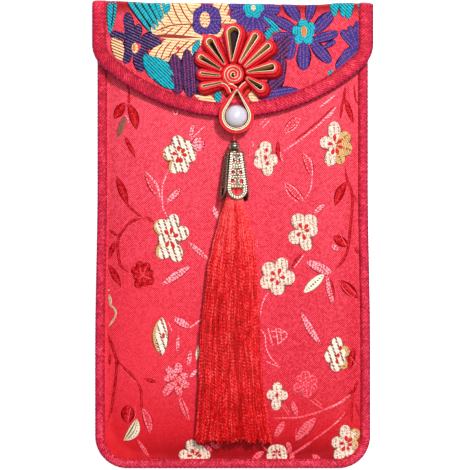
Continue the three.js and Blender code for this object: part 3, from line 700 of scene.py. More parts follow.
threadLooks = {
    "cream": thread((250, 226, 206), (160, 88, 76), (164, 92, 72), 0.34, 0.85, 0.16, 0.25,
                    columns=(0.12, 1.55, 1.1, 0.7), fleck=0.8),
    "ribbedCream": thread((253, 236, 216), (124, 30, 26), (156, 80, 62), 0.2, 0.85, 0.16, 0.25,
                          columns=(0.34, 2.3, 1.1, 1.0), fleck=0.6),
    "plainCream": thread((251, 236, 212), (84, 52, 44), (196, 150, 110), 0.16, 0.6, 0.2, 0.3,
                         dashes=(0.0, 0.24, 1.1)),
    "ochre": thread((230, 184, 122), (140, 64, 34), (160, 84, 46), 0.6, 0.75, 0.16, 0.2,
                    dashes=(0.0, 0.22, 1.2)),
    "stripedLeaf": thread((242, 228, 190), (120, 80, 44), (120, 84, 50), 0.3, 0.8, 0.14, 0.3,
                          dashes=(0.35, 0.2, 0)),
    "brown": thread((164, 100, 80), (104, 50, 40), (120, 52, 44), 0.6, 0.7, 0.14, 0.2,
                    dashes=(0.0, 0.2, 0.9)),
    "seed": thread((214, 38, 32), (150, 14, 10), (128, 40, 28), 0.3, 0.5, 0.16, 0.15),
    # The red tone-on-tone weave is drawn in two colours: deep red is its painted shade, pale pink its
    # painted sheen
    "deep": thread((174, 0, 12), (232, 50, 60), (96, 0, 4), 0.44, 0.8, 0.24, 0.06,
                   dashes=(0.0, 0.22, 0.9), fleck=0.9),
    "hatched": thread((224, 34, 56), (255, 150, 160), (150, 0, 16), 0.35, 0.85, 0.16, 0.1,
                      dashes=(0.55, 0.16, 1.5)),
    "outlined": thread((228, 34, 58), (255, 146, 158), (255, 140, 152), 0.3, 0.9, 0.24, 0.1,
                       dashes=(0.0, 0.14, 1.2)),
    "rose": thread((255, 174, 186), (206, 16, 44), (206, 18, 46), 0.72, 1.15, 0.2, 0.15,
                   rows=1.45, twist=2.0, fleck=0.9, fade=0.6),
    "blush": thread((255, 196, 204), (222, 54, 80), (216, 44, 70), 0.8, 1.15, 0.2, 0.15, twist=2.4),
    "pinkLine": thread((255, 190, 200), (226, 44, 66), (236, 70, 94), 0.75, 1.3, 0.12, 0.15,
                       twist=1.2, fleck=0.8, fade=0.75),
    "redLine": thread((246, 96, 110), (200, 20, 40), (200, 20, 44), 0.5, 1.0, 0.12, 0.1, twist=1.2),
    "navy": thread((34, 28, 80), (156, 66, 102), (8, 4, 26), 0.35, 0.7, 0.2, 0.06, rows=1.3),
    "indigo": thread((34, 42, 126), (140, 84, 134), (14, 8, 40), 0.4, 0.7, 0.18, 0.06, rows=1.3),
    "ink": thread((40, 18, 34), (18, 8, 20), (18, 8, 20), 0.3, 0.7, 0.1, 0.1),
    "turquoise": thread((4, 188, 200), (8, 60, 92), (4, 30, 56), 0.2, 0.85, 0.16, 0.12,
                        slant=(1.0, 1.35, 0.75, -0.3)),
    "lagoon": thread((12, 184, 196), (4, 70, 98), (6, 26, 50), 0.6, 1.0, 0.2, 0.12, twist=1.6),
    "peach": thread((248, 216, 162), (196, 110, 76), (170, 96, 62), 0.0, 0.95, 0.06, 0.2,
                    slant=(0.12, 1.1, 0.62, -0.1)),
    "vein": thread((158, 40, 36), (110, 22, 22), (120, 26, 26), 0.4, 0.8, 0.12, 0.15),
    "gold": thread((236, 178, 88), (190, 96, 54), (176, 86, 60), 0.35, 0.7, 0.2, 0.25,
                   dashes=(0.3, 0.3, 0)),
    "inkStripe": thread((26, 16, 64), (160, 116, 160), (10, 4, 28), 0.0, 0.9, 0.12, 0.08,
                        slant=(0.46, 1.15, 0.75, 0.45)),
    "creamStripe": thread((246, 216, 164), (150, 48, 32), (150, 60, 44), 0.0, 1.15, 0.08, 0.25,
                          slant=(0.42, 1.1, 0.95, -0.3)),
}
layers = {"vein": 1, "blush": 1, "pinkLine": 1, "redLine": 1, "seed": 3, "gold": 3}
# painted shade: lower down, the pink threads blend into the ground's red
threadPaintedShade = {"y": (-38.0, -72.0), "to": dye(234, 44, 60)}


def threadFinish(kind):
    look = threadLooks[kind]
    gloss = {"Specular IOR Level": look["shine"], "Anisotropic": 0.4}
    material, inputs, place = newFinish(kind + "Thread", gloss)
    x = place.part(0) / mm
    y = place.part(1) / mm
    along = place.attribute("along")
    margin = place.attribute("margin")
    side = place.attribute("side")
    yarn = place.noise(1600.0, 3.0, 0.7)
    drop = place.noise(700.0, 2.0)
    chevron = margin * look["twist"] if "twist" in look else margin.size() * 1.5
    floats = (along * (turn / look["pitch"]) + chevron + yarn * 2.0).sine() * 0.5 + 0.5
    lines = floats * look["hatch"]
    if "dashes" in look:
        spot, width, pitch = look["dashes"]
        dashes = ((margin.size() - spot).size() + (yarn - 0.5) * 0.12).step(width, width * 0.4)
        if pitch:
            gaps = (along * (turn / pitch) + margin * 2.4 + yarn * 3.0).sine() + (drop - 0.5) * 3.0
            dashes = dashes * gaps.step(-0.3, 0.3)
        lines = lines.larger(dashes)
    if "rows" in look:
        rows = (side * (turn / look["rows"]) + (yarn - 0.5) * 2.2 + turn / 4).sine().step(0.45, 0.9)
        gaps = (along * (turn / 1.1) + side * 2.2 + yarn * 3.0).sine() + (drop - 0.5) * 3.0
        lines = lines.larger(rows * gaps.step(-1.1, 0.1))
    if "columns" in look:
        lean, pitch, tick, strength = look["columns"]
        column = ((x + y * lean) * (turn / pitch) + (yarn - 0.5) * 2.0).sine().step(0.25, 0.75)
        ticks = ((y + x * 0.6) * (turn / tick) + yarn * 2.0).sine() + (drop - 0.5) * 2.0
        lines = lines.larger(column * ticks.step(-1.2, -0.2) * strength)
    if "slant" in look:
        lean, pitch, strength, low = look["slant"]
        stripe = ((x * lean + y) * (turn / pitch) + yarn * 1.4 + drop * 2.0).sine()
        lines = lines.larger(stripe.step(low, low + 0.7) * strength)
    fleck = (along / 0.5).speck(side / 0.5)
    tone = (lines + (yarn - 0.5) * 1.0 + (fleck - 0.5) * look.get("fleck", 0.4)).step(0.05, 0.95)
    rim = (margin.size() + (yarn - 0.5) * 0.5).step(1 - look["edge"] * 1.7, 1 - look["edge"] * 0.3)
    colour = rim.mix(tone.mix(look["colour"], look["line"]), look["rim"])
    # painted shade towards the foot
    if "fade" in look:
        fade = y.step(*threadPaintedShade["y"]) * look["fade"]
        colour = fade.mix(colour, threadPaintedShade["to"])
    feed(inputs, colour=colour, rough=yarn * 0.2 + 0.42, normal=(floats + yarn).bump(0.35, 0.0001))
    return material


threads = {kind: threadFinish(kind) for kind in threadLooks}


def spineCurve(points, count):  # a smooth line through a few pixels
    points = np.asarray(points, float)
    if len(points) == 2:
        return between(points[0], points[1], np.linspace(0, 1, count)[:, None])
    ends = np.concatenate([[2 * points[0] - points[1]], points, [2 * points[-1] - points[-2]]])
    share = np.linspace(0, len(points) - 1 - 1e-9, count)
    k = share.astype(int)
    t = (share - k)[:, None]
    a, b, c, d = (ends[k + j] for j in range(4))
    square = (2 * a - 5 * b + 4 * c - d) * t ** 2
    cube = (3 * b - a - 3 * c + d) * t ** 3
    return 0.5 * (2 * b + (c - a) * t + square + cube)


def charted(kind, spine, widths, layer):
    level = layers.get(kind, 0) if layer is None else layer
    return {"kind": kind, "spine": spine, "widths": widths, "layer": level}


def leaf(kind, base, tip, half, bend=0.0, lean=1.0, blunt=0.75, layer=None):
    base = np.asarray(base, float)
    tip = np.asarray(tip, float)
    axis = tip - base
    share = (1 - np.cos(np.linspace(0, math.pi, int(np.clip(np.hypot(*axis) * 0.9, 15, 60))))) / 2
    side = np.array([-axis[1], axis[0]]) / max(np.hypot(*axis), 1e-6)
    spine = base + axis * share[:, None] + side * (bend * 4 * share * (1 - share))[:, None]
    widths = half * np.clip(np.sin(math.pi * share ** lean), 0.02, 1) ** blunt
    return charted(kind, spine, widths, layer)


boldStems = {"deep": 1.35}  # how much wider the stems of a thread are drawn


def stem(kind, *points, half=0.9, layer=None):
    count = 6 * len(points)
    spine = spineCurve(points, count)
    share = np.linspace(0, 1, count)
    widths = half * boldStems.get(kind, 1.0) * np.clip(np.sin(math.pi * share) * 3, 0.25, 1)
    return charted(kind, spine, widths, layer)


def oval(kind, centre, radiusX, radiusY, layer=None):
    x, y = centre
    return leaf(kind, (x, y - radiusY), (x, y + radiusY), radiusX, blunt=0.5, layer=layer)


# angle in degrees, up is 90
def petal(kind, centre, angle, reach, half, start=0.0, lean=1.5, blunt=0.5, layer=None):
    heading = np.array([math.cos(math.radians(angle)), -math.sin(math.radians(angle))])
    base = np.asarray(centre, float) + heading * start
    tip = np.asarray(centre, float) + heading * reach
    return leaf(kind, base, tip, half, lean=lean, blunt=blunt, layer=layer)


def leaves(kind, rows, **more):  # rows of base, tip and half width
    return [leaf(kind, *row, **more) for row in rows]


def stems(kind, *rows):  # rows of half width and points
    return [stem(kind, *points, half=half) for half, *points in rows]


def petals(kind, centre, rows, **more):  # rows of angle, reach and half width
    return [petal(kind, centre, *row, **more) for row in rows]


flower = {"fuller": 1.17, "heart": 3.4, "seedReach": 0.46, "seedStart": 0.13}


# rows: angle, reach, half width, and a thread where it isn't the blossom's own
def blossom(centre, rows, seeds=2.3, kind="cream"):
    made = []
    for angle, reach, half, *other in rows:
        own = other[0] if other else kind
        made.append(petal(own, centre, angle, reach, half * flower["fuller"], lean=1.35, blunt=0.42))
    made.append(oval(kind, centre, flower["heart"], flower["heart"]))
    for angle, reach, *_ in rows if seeds else []:
        start = reach * flower["seedStart"]
        tip = reach * flower["seedReach"]
        made.append(petal("seed", centre, angle, tip, seeds, start=start, lean=1.4, blunt=0.6))
    return made


# Heights above the cloth, the grain of the mesh and the way in from the cloth's edge, mm
cushion = {"first": 0.012, "rise": 0.035, "layer": 0.045, "step": 0.0006, "sink": 0.3, "grain": 0.6,
           "margin": 0.3}


def motifSkin(motifs, place):  # closed cushions, each a little above the one before
    parts, kinds, along, margin, sides = [], [], [], [], []
    for index, motif in enumerate(motifs):
        x, y = onPhoto(motif["spine"][:, 0], motif["spine"][:, 1])
        widths = motif["widths"] * photo["mmPerPixel"]
        flat = np.linspace(-1, 1, 2 * int(np.clip(widths.max() / cushion["grain"], 3, 16)) + 1)
        across = np.append(flat, [0.9, -0.9])
        dome = np.append(1.0 - flat ** 4, [-0.35, -0.35])
        dome[[0, len(flat) - 1]] = -0.03
        heading = np.stack([np.gradient(x), np.gradient(y)], -1)
        heading /= np.maximum(np.linalg.norm(heading, axis=1, keepdims=True), 1e-9)
        sideX = x[:, None] - heading[:, 1:2] * across * widths[:, None]
        sideY = y[:, None] + heading[:, 0:1] * across * widths[:, None]
        base = cushion["first"] + motif["layer"] * cushion["layer"] + index * cushion["step"]
        level = np.where(dome > 0, base + cushion["rise"] * dome, dome * cushion["sink"])
        points, faces = loft(place(sideX, sideY, level))
        parts.append((points, faces))
        kinds += [motif["kind"]] * len(faces)
        length = np.concatenate([[0], np.cumsum(np.hypot(np.diff(x), np.diff(y)))])
        along.append(np.repeat(length, len(across)))
        margin.append(np.tile(across, len(x)))
        sides.append((across * widths[:, None]).ravel())
    fields = {"along": along, "margin": margin, "side": sides}
    return joined(parts), kinds, {name: np.concatenate(values) for name, values in fields.items()}


def motifPiece(name, motifs, place, slot):
    skin, kinds, fields = motifSkin(motifs, place)
    used = sorted(set(kinds))
    faceMaterials = [used.index(kind) for kind in kinds]
    return settle(makePiece(name, skin, [threads[kind] for kind in used], fields, faceMaterials), slot)


def onFrontCloth(x, y, level):
    inset = sheetInset + cushion["margin"]
    radius = pouch["corner"] - inset
    half = halfWidthAt(y) - inset
    y = np.maximum(y, -pouch["halfHeight"] + inset)
    below = np.clip(cornerY - y, 0, radius)
    cornerX = halfWidthAt(cornerY) - pouch["corner"]
    half = np.where(y > cornerY, half, cornerX + np.sqrt(np.clip(radius ** 2 - below ** 2, 0, None)))
    x = np.clip(x, -half, half)
    return np.stack([x, y, frontSurface(x, y) + level], -1)


def onFlapCloth(x, y, level):
    outer = foldInner + cloth["thickness"]
    turned = np.arcsin(np.clip((y - foldY) / outer, 0, 1))
    past = foldY + foldLength / math.pi * turned + np.clip(y - foldY - outer, 0, None)
    half = flap["half"] - sheetInset - cushion["margin"]
    x = np.clip(x, -half, half)
    lowest = flapLowest(x, sheetInset) + cushion["margin"]
    v = np.clip(np.where(y <= foldY, y, past), lowest, flapEnd - cushion["margin"])
    return flapPoint(x, v, cloth["thickness"] + level, flap["puff"])


frontMotifs = [
    # dark sprays along the left edge, the tone-on-tone weave in its painted shade
    stem("deep", (128, 84), (129, 95), (129.4, 104), half=1.0),
    leaf("deep", (125, 103), (114.5, 119), 5.2), leaf("deep", (128, 104), (136.5, 130), 5.2, bend=-2),
    leaf("brown", (125.6, 115.6), (118, 138), 3.6),
    stem("pinkLine", (125, 115), (128, 119), (128.8, 123), half=0.6),
    *leaves("deep", [((124.8, 136), (135.8, 158), 2.4), ((117.2, 176.5), (128, 205), 4.4)]),
    *stems("deep", (1.0, (126, 203), (132, 209), (142.5, 217.5)),
        (1.1, (143, 218), (133.3, 221), (125.6, 228), (119.5, 236.5), (118, 245), (118.8, 255),
        (121.2, 265.5), (129, 272.5))),
    stem("redLine", (141, 220.5), (131, 225), (123.5, 234), (120.5, 243), half=0.45),
    *leaves("deep", [((108.8, 229.4), (118, 236), 1.6), ((115.7, 241), (108, 259.5), 3.0),
        ((108.8, 264.5), (121, 287), 4.2)]),
    stem("redLine", (108, 268), (112, 279), (120, 287), half=0.5),
    leaf("deep", (146, 217), (154, 222), 1.8),
    *petals("deep", (142.4, 274.6), [(150, 12.5, 4.2), (105, 14.5, 4.2), (62, 14, 4.4), (10, 12, 4.2),
        (-35, 14.5, 4.8), (-70, 12.5, 4.4), (-112, 14.5, 4.6), (195, 9.5, 3.6)]),
    *stems("redLine", (0.5, (140, 268), (143, 275), (152, 279)),
        (0.45, (138, 279), (143, 275), (147, 266))),
    oval("stripedLeaf", (108.9, 290), 0.9, 0.9), leaf("stripedLeaf", (109.5, 294), (111, 305), 1.8),
    stem("stripedLeaf", (109, 304), (115, 309), (115.6, 316), (108.3, 327), half=1.0),
    *stems("deep", (1.1, (108, 333), (112.6, 346), (118, 361), (128, 371), (138, 381)),
        (1.0, (115.7, 354), (116.8, 367), (115.2, 384), (111.8, 407), (108.3, 421)),
        (0.9, (137.8, 381), (141, 390), (141.8, 403), (142.4, 411))),
    stem("redLine", (119, 364), (128, 374), (137, 383), half=0.4),
    *leaves("deep", [((110.5, 352), (109.5, 366), 1.4), ((144, 378), (157, 382), 2.0)]),
    leaf("deep", (128, 404.5), (128, 422.5), 7.0, blunt=0.6),
    *stems("redLine", (0.5, (131, 407), (129.5, 414), (128, 422)),
        (0.4, (135.5, 405), (136, 413), (134, 420))),
    leaf("stripedLeaf", (137.1, 418), (124, 440), 5.0, bend=-2.6),
    leaf("plainCream", (137.6, 419.4), (127, 440), 2.9, bend=-4.8, layer=1),
    leaf("hatched", (142.4, 407.5), (150.2, 433), 5.0, bend=-2),
    stem("pinkLine", (143, 408), (151, 418), (150.5, 432), half=0.6),
    leaf("rose", (137, 438.5), (149.6, 457), 2.2),
    # rose sprays on the left half, the same weave in its painted sheen
    stem("pinkLine", (171.8, 110), (176, 115.4), (178.3, 110), half=0.7),
    leaf("rose", (190, 139), (193.7, 124), 2.8),
    stem("pinkLine", (205.4, 126), (197, 134), (190.6, 140.5), half=0.7),
    oval("rose", (198.3, 144.5), 7.0, 7.0), leaf("hatched", (160, 198.4), (145.5, 171.5), 5.2),
    *stems("pinkLine", (0.8, (160.5, 199), (157, 184), (146, 172)),
        (0.8, (169.3, 169), (163.2, 184.5), (162.3, 196), (163, 206), (164.3, 210.5), (168, 218))),
    *leaves("rose", [((166.5, 203), (181, 188.5), 3.6), ((188, 241.5), (209.2, 260.3), 3.0),
        ((162, 284.6), (190.5, 266), 4.6)]),
    leaf("rose", (174.4, 317.5), (189.4, 327), 4.4, blunt=0.5),
    *stems("pinkLine", (0.8, (189, 327.6), (195, 324), (201.6, 318.8)), (0.5, (168, 321), (172.4, 331))),
    *leaves("rose", [((178.4, 334), (177.5, 353), 2.2), ((190.8, 349.5), (188.2, 367), 2.8)]),
    leaf("plainCream", (198.6, 345), (196.6, 359.5), 2.0), leaf("blush", (190, 376.8), (197.8, 369), 2.4),
    *petals("rose", (176, 379), [(78, 17, 5.5), (125, 16, 4.5), (172, 12, 4.5), (232, 20, 5.5),
        (285, 17, 4.5), (-28, 15, 5.5), (22, 13, 4.5)]),
    petal("seed", (176, 379), 60, 9, 1.5, start=3, lean=1.0),
    petal("seed", (176, 379), 200, 8, 1.4, start=2, lean=1.0),
    petal("seed", (176, 379), -60, 9, 1.5, start=3, lean=1.0),
    leaf("rose", (179, 395), (189.4, 420.5), 4.0),
    stem("seed", (181, 397), (185, 408), (188.5, 419), half=0.6),
    # rose sprays on the right half, the same weave in its painted sheen
    *stems("pinkLine", (0.6, (262, 129), (270, 120)), (0.5, (259, 126), (266, 119))),
    leaf("hatched", (283.3, 132.5), (300.4, 116), 4.6),
    *stems("pinkLine", (0.6, (284, 134), (294, 129), (300.5, 119)),
        (0.9, (336.4, 107), (326, 118), (314, 129.4)), (0.75, (316, 127.5), (298, 141.6), (282.3, 152))),
    stem("deep", (334, 106.4), (312, 127), (295, 140.4), half=0.7),
    leaf("deep", (278, 140.5), (280.8, 162), 2.6, bend=1.5),
    stem("pinkLine", (280, 151), (281, 158), (283, 161.5), half=0.5),
    leaf("hatched", (312, 178), (302, 152.5), 4.6, bend=1.5),
    *stems("pinkLine", (0.7, (302.4, 153), (311, 162), (312, 178)),
        (0.6, (312, 177.5), (310, 190), (305.4, 198.4))),
    leaf("hatched", (304.4, 202.4), (284.3, 182), 4.6),
    *stems("pinkLine", (0.5, (284.4, 182), (288, 194), (298, 203)),
        (0.6, (286, 183), (295, 189), (304, 201))),
    leaf("rose", (313, 213.6), (324.6, 204), 3.0), leaf("deep", (291, 268.6), (301.5, 252.6), 2.2),
    stem("pinkLine", (293, 268.6), (303.6, 254.6), half=0.7),
    leaf("rose", (305.6, 261.5), (328.5, 275), 6.0, bend=-2),
    *leaves("rose", [((320, 264), (332, 273.5), 3.0), ((326.4, 275), (332.4, 303.5), 3.8)]),
    leaf("deep", (329, 277), (334.4, 299), 2.2),
    *stems("pinkLine", (0.6, (269.2, 291.5), (264.4, 298), (261.2, 308), (260.4, 315)),
        (0.6, (267.5, 326.5), (270, 336), (273, 345.5)), (0.6, (275.5, 326.5), (277, 336), (278, 345)),
        (0.6, (276.5, 327), (287, 334.5), (276.5, 345)), (0.5, (270, 331), (277, 331)),
        (0.5, (271.5, 336.5), (278, 336.5)),
        (0.6, (260, 328), (265, 336), (266, 347), (270, 356), (279.5, 367)),
        (0.5, (265, 360.5), (273, 364), (280, 367))),
    leaf("rose", (300.8, 311.5), (320.6, 344.4), 4.2, bend=1.0),
    *petals("outlined", (305.8, 383.5), [(95, 13.5, 5.2), (30, 12, 5.2), (-30, 12, 5.2), (-85, 14, 5.2),
        (205, 14, 5.2), (150, 12, 5.2)]),
    oval("outlined", (305.8, 383.5), 2.6, 2.6),
    *stems("pinkLine", (0.6, (309, 399), (316, 404), (323.5, 408.6)), (0.5, (313.8, 398), (322, 405.2)),
        (0.6, (281, 403), (285, 409.5), (289, 415)), (0.5, (283.4, 403), (290, 413))),
    leaf("rose", (297, 416), (291.5, 399.6), 3.4),
    stem("deep", (357.6, 380), (353, 391), (346, 397), half=1.1),
    *stems("pinkLine", (1.5, (351, 393.6), (345.7, 398), (337.7, 403.6), (322, 410)),
        (1.1, (324, 409.4), (310.6, 414), (294.7, 417.3), (272.6, 417.6))),
    *leaves("rose", [((284.4, 420.5), (274.5, 437), 4.2), ((315.6, 417), (295.3, 440), 6.2)]),
    *stems("pinkLine", (0.5, (296, 427), (295.5, 439.6)), (0.6, (295.8, 439.6), (307, 431), (315.4, 418)),
        (1.0, (345.8, 410.6), (337.8, 420.6), (325, 431), (310.6, 441.4)),
        (1.5, (312, 440.6), (298, 450.4), (289.4, 454.6))),
    *petals("rose", (291, 452), [(110, 11, 3.0), (170, 5, 2.4), (-80, 8, 3.0)]),
    leaf("rose", (252, 459), (264, 451), 3.6), stem("pinkLine", (261, 443), (266.8, 450.4), half=0.8),
    *leaves("rose", [((312, 454), (321, 461), 3.2), ((205, 444), (212, 451), 2.2)]),
    *petals("rose", (212.6, 447), [(15, 8, 3.0), (95, 6, 2.6)]),
    # pale strokes under the flap's edge, painted highlights where the puckered cloth there catches the
    # light, pale strokes on the lower sprays, and what shows beside the tassel
    *stems("blush", (1.1, (335, 95.5), (327, 102), (319, 108)), (1.1, (333.4, 112.4), (327, 118.6)),
        (0.9, (332, 406), (337, 403.6), (341, 401)), (0.8, (334, 424), (338.5, 420))),
    leaf("rose", (213.6, 205.5), (217.4, 219.5), 3.2),
    stem("blush", (213.4, 206), (216, 212), (217, 219), half=0.7),
    leaf("hatched", (256.4, 239), (256.8, 251), 2.0), oval("outlined", (249.6, 153), 3.6, 4.2),
    *stems("pinkLine", (0.6, (251, 141), (253.4, 144.4), (252, 148)), (0.5, (280, 329.5), (281.6, 340.5)),
        (0.5, (277, 331.4), (284, 332.4))),
    # dark sprays along the right edge, the tone-on-tone weave in its painted shade
    stem("deep", (345, 86), (343.6, 98), (341.5, 108), (339.9, 119.5), half=0.9),
    leaf("deep", (344.6, 98), (353, 123), 3.0),
    *stems("deep", (0.7, (353.7, 84), (355.2, 98.8), (359.6, 107)),
        (1.0, (344.5, 166), (346.8, 179), (351.3, 192), (352, 207), (350, 227), (348.5, 243),
        (346.5, 252.5), (341, 263), (334.5, 270)), (0.6, (346.8, 182), (352, 193), (357.6, 203))),
    leaf("deep", (346.2, 182), (335, 206), 4.6, bend=1.5),
    leaf("deep", (348, 246), (333, 236.5), 5.0, blunt=0.6), leaf("rose", (331, 244.5), (338, 250), 3.0),
    stem("redLine", (339, 233.5), (343, 240), (346, 246), half=0.5),
    *leaves("deep", [((355.3, 247.5), (357.8, 254.5), 1.6), ((338.5, 280), (358, 298), 5.4)]),
    *stems("redLine", (0.5, (338, 281), (346, 292), (356, 299)),
        (0.5, (345, 283), (352, 290), (357, 296))),
    leaf("deep", (354, 347.5), (348.5, 369.5), 3.6), stem("redLine", (350, 356), (356.5, 365), half=0.5),
    *stems("deep", (0.9, (352.6, 394), (351.6, 407), (351.3, 421)), (0.6, (355, 402), (359.4, 417))),
    # cream blossoms
    *blossom((178.6, 154.8), [(172, 15.6, 7.4), (-107, 19.6, 6.2)], seeds=0, kind="ochre"),
    *blossom((179.5, 154.6), [(97, 18.8, 6.4), (44, 17, 6.6), (-8, 17.2, 6.6), (-72, 19, 6.2),
        (-107, 19.6, 6.2), (172, 15.6, 7.4)], kind="ribbedCream"),
    *blossom((169, 238), [(125, 21, 7.2), (-114, 22.4, 7.2)], seeds=0, kind="ochre"),
    oval("ribbedCream", (163.6, 239.4), 6.0, 6.6),
    *blossom((170.4, 237.8), [(80, 24, 6.4), (22, 19.8, 7), (-70, 25.2, 7), (-114, 22.4, 7.4),
        (125, 21, 7.4)], kind="ribbedCream"),
    *blossom((265.7, 157.7), [(92, 16, 6.4), (-24, 12.4, 6.4), (-82, 18.6, 5.6), (220, 13.4, 6.4),
        (143, 11.6, 6)], seeds=0),
    *[oval("seed", centre, 1.9, 2.3) for centre in [(266.4, 150.4), (265.6, 157.8), (267.4, 163.6)]],
    *blossom((334.6, 145.4), [(38, 18.6, 6.6, "ochre"), (-18, 18, 7.2, "ochre"), (-70, 20, 6, "ochre"),
        (92, 23.4, 6.2), (164, 15.2, 6.4), (-107, 21.6, 6.2)]),
    *blossom((302.2, 230.9), [(112, 18.2, 7), (50, 19, 7.6), (4, 15, 6.4), (-75, 20.6, 6),
        (222, 16.4, 6.8)]),
    *blossom((277.1, 277.1), [(70, 20.6, 6.6), (-2, 17.6, 7.4), (-88, 17.8, 7), (206, 18.2, 7),
        (136, 18.4, 7.4)]),
    leaf("ochre", (162, 318), (161, 353), 7.0, bend=2.6, blunt=0.6),
    leaf("ribbedCream", (162, 317), (162, 355), 7.3, bend=0.2, blunt=0.65, layer=1),
    oval("seed", (163.8, 335), 1.9, 2.8),
    leaf("plainCream", (323.6, 274.4), (303.8, 292.2), 5.4, blunt=0.6),
    *blossom((336.9, 355), [(28, 13.4, 5.8, "ochre"), (-58, 15.4, 5.4, "ochre"), (28, 9.4, 5.6),
        (-58, 11, 5.4), (92, 18.2, 5.8), (-96, 16, 5.8), (188, 12.6, 6.4), (132, 12, 5.6)], seeds=0,
        kind="ribbedCream"),
    *[oval("seed", centre, 1.9, 2.3) for centre in [(340.2, 347.6), (337.9, 355), (336.5, 361)]],
    *blossom((277.1, 394.9), [(90, 13, 5), (0, 10.4, 5.2), (-97, 14.8, 5), (174, 10.4, 5.2)], seeds=0),
    oval("seed", (276.8, 394.6), 2.0, 2.4),
    *blossom((194.5, 456), [(105, 17.2, 6), (48, 13.6, 5.8), (172, 15.8, 5.2), (8, 16, 5.4)], seeds=1.9),
    *blossom((276.7, 453), [(90, 9, 6.6), (35, 10, 5.4), (145, 10, 5.4), (210, 11, 5), (-30, 11, 5)],
        seeds=1.6),
    *blossom((346.5, 443.8), [(52, 18.6, 5.6, "ochre"), (-6, 11.4, 5.6, "ochre"), (56, 15, 5.2),
        (-6, 8, 5), (96, 19.2, 5.8), (170, 15.4, 6), (-126, 18.6, 5.8), (-72, 13.6, 5.4)]),
]

# Base and tip of each stick of the flap's turquoise fan
fanLines = [((122, -8), (150.9, 32)), ((129.7, -8), (155.6, 30)), ((137.7, -8), (158.6, 27.2)),
            ((145.8, -8), (161, 22.8)), ((152.8, -8), (163, 19.4)), ((160.4, -8), (166.6, 15.6)),
            ((168.2, -8), (168.4, 12.4))]

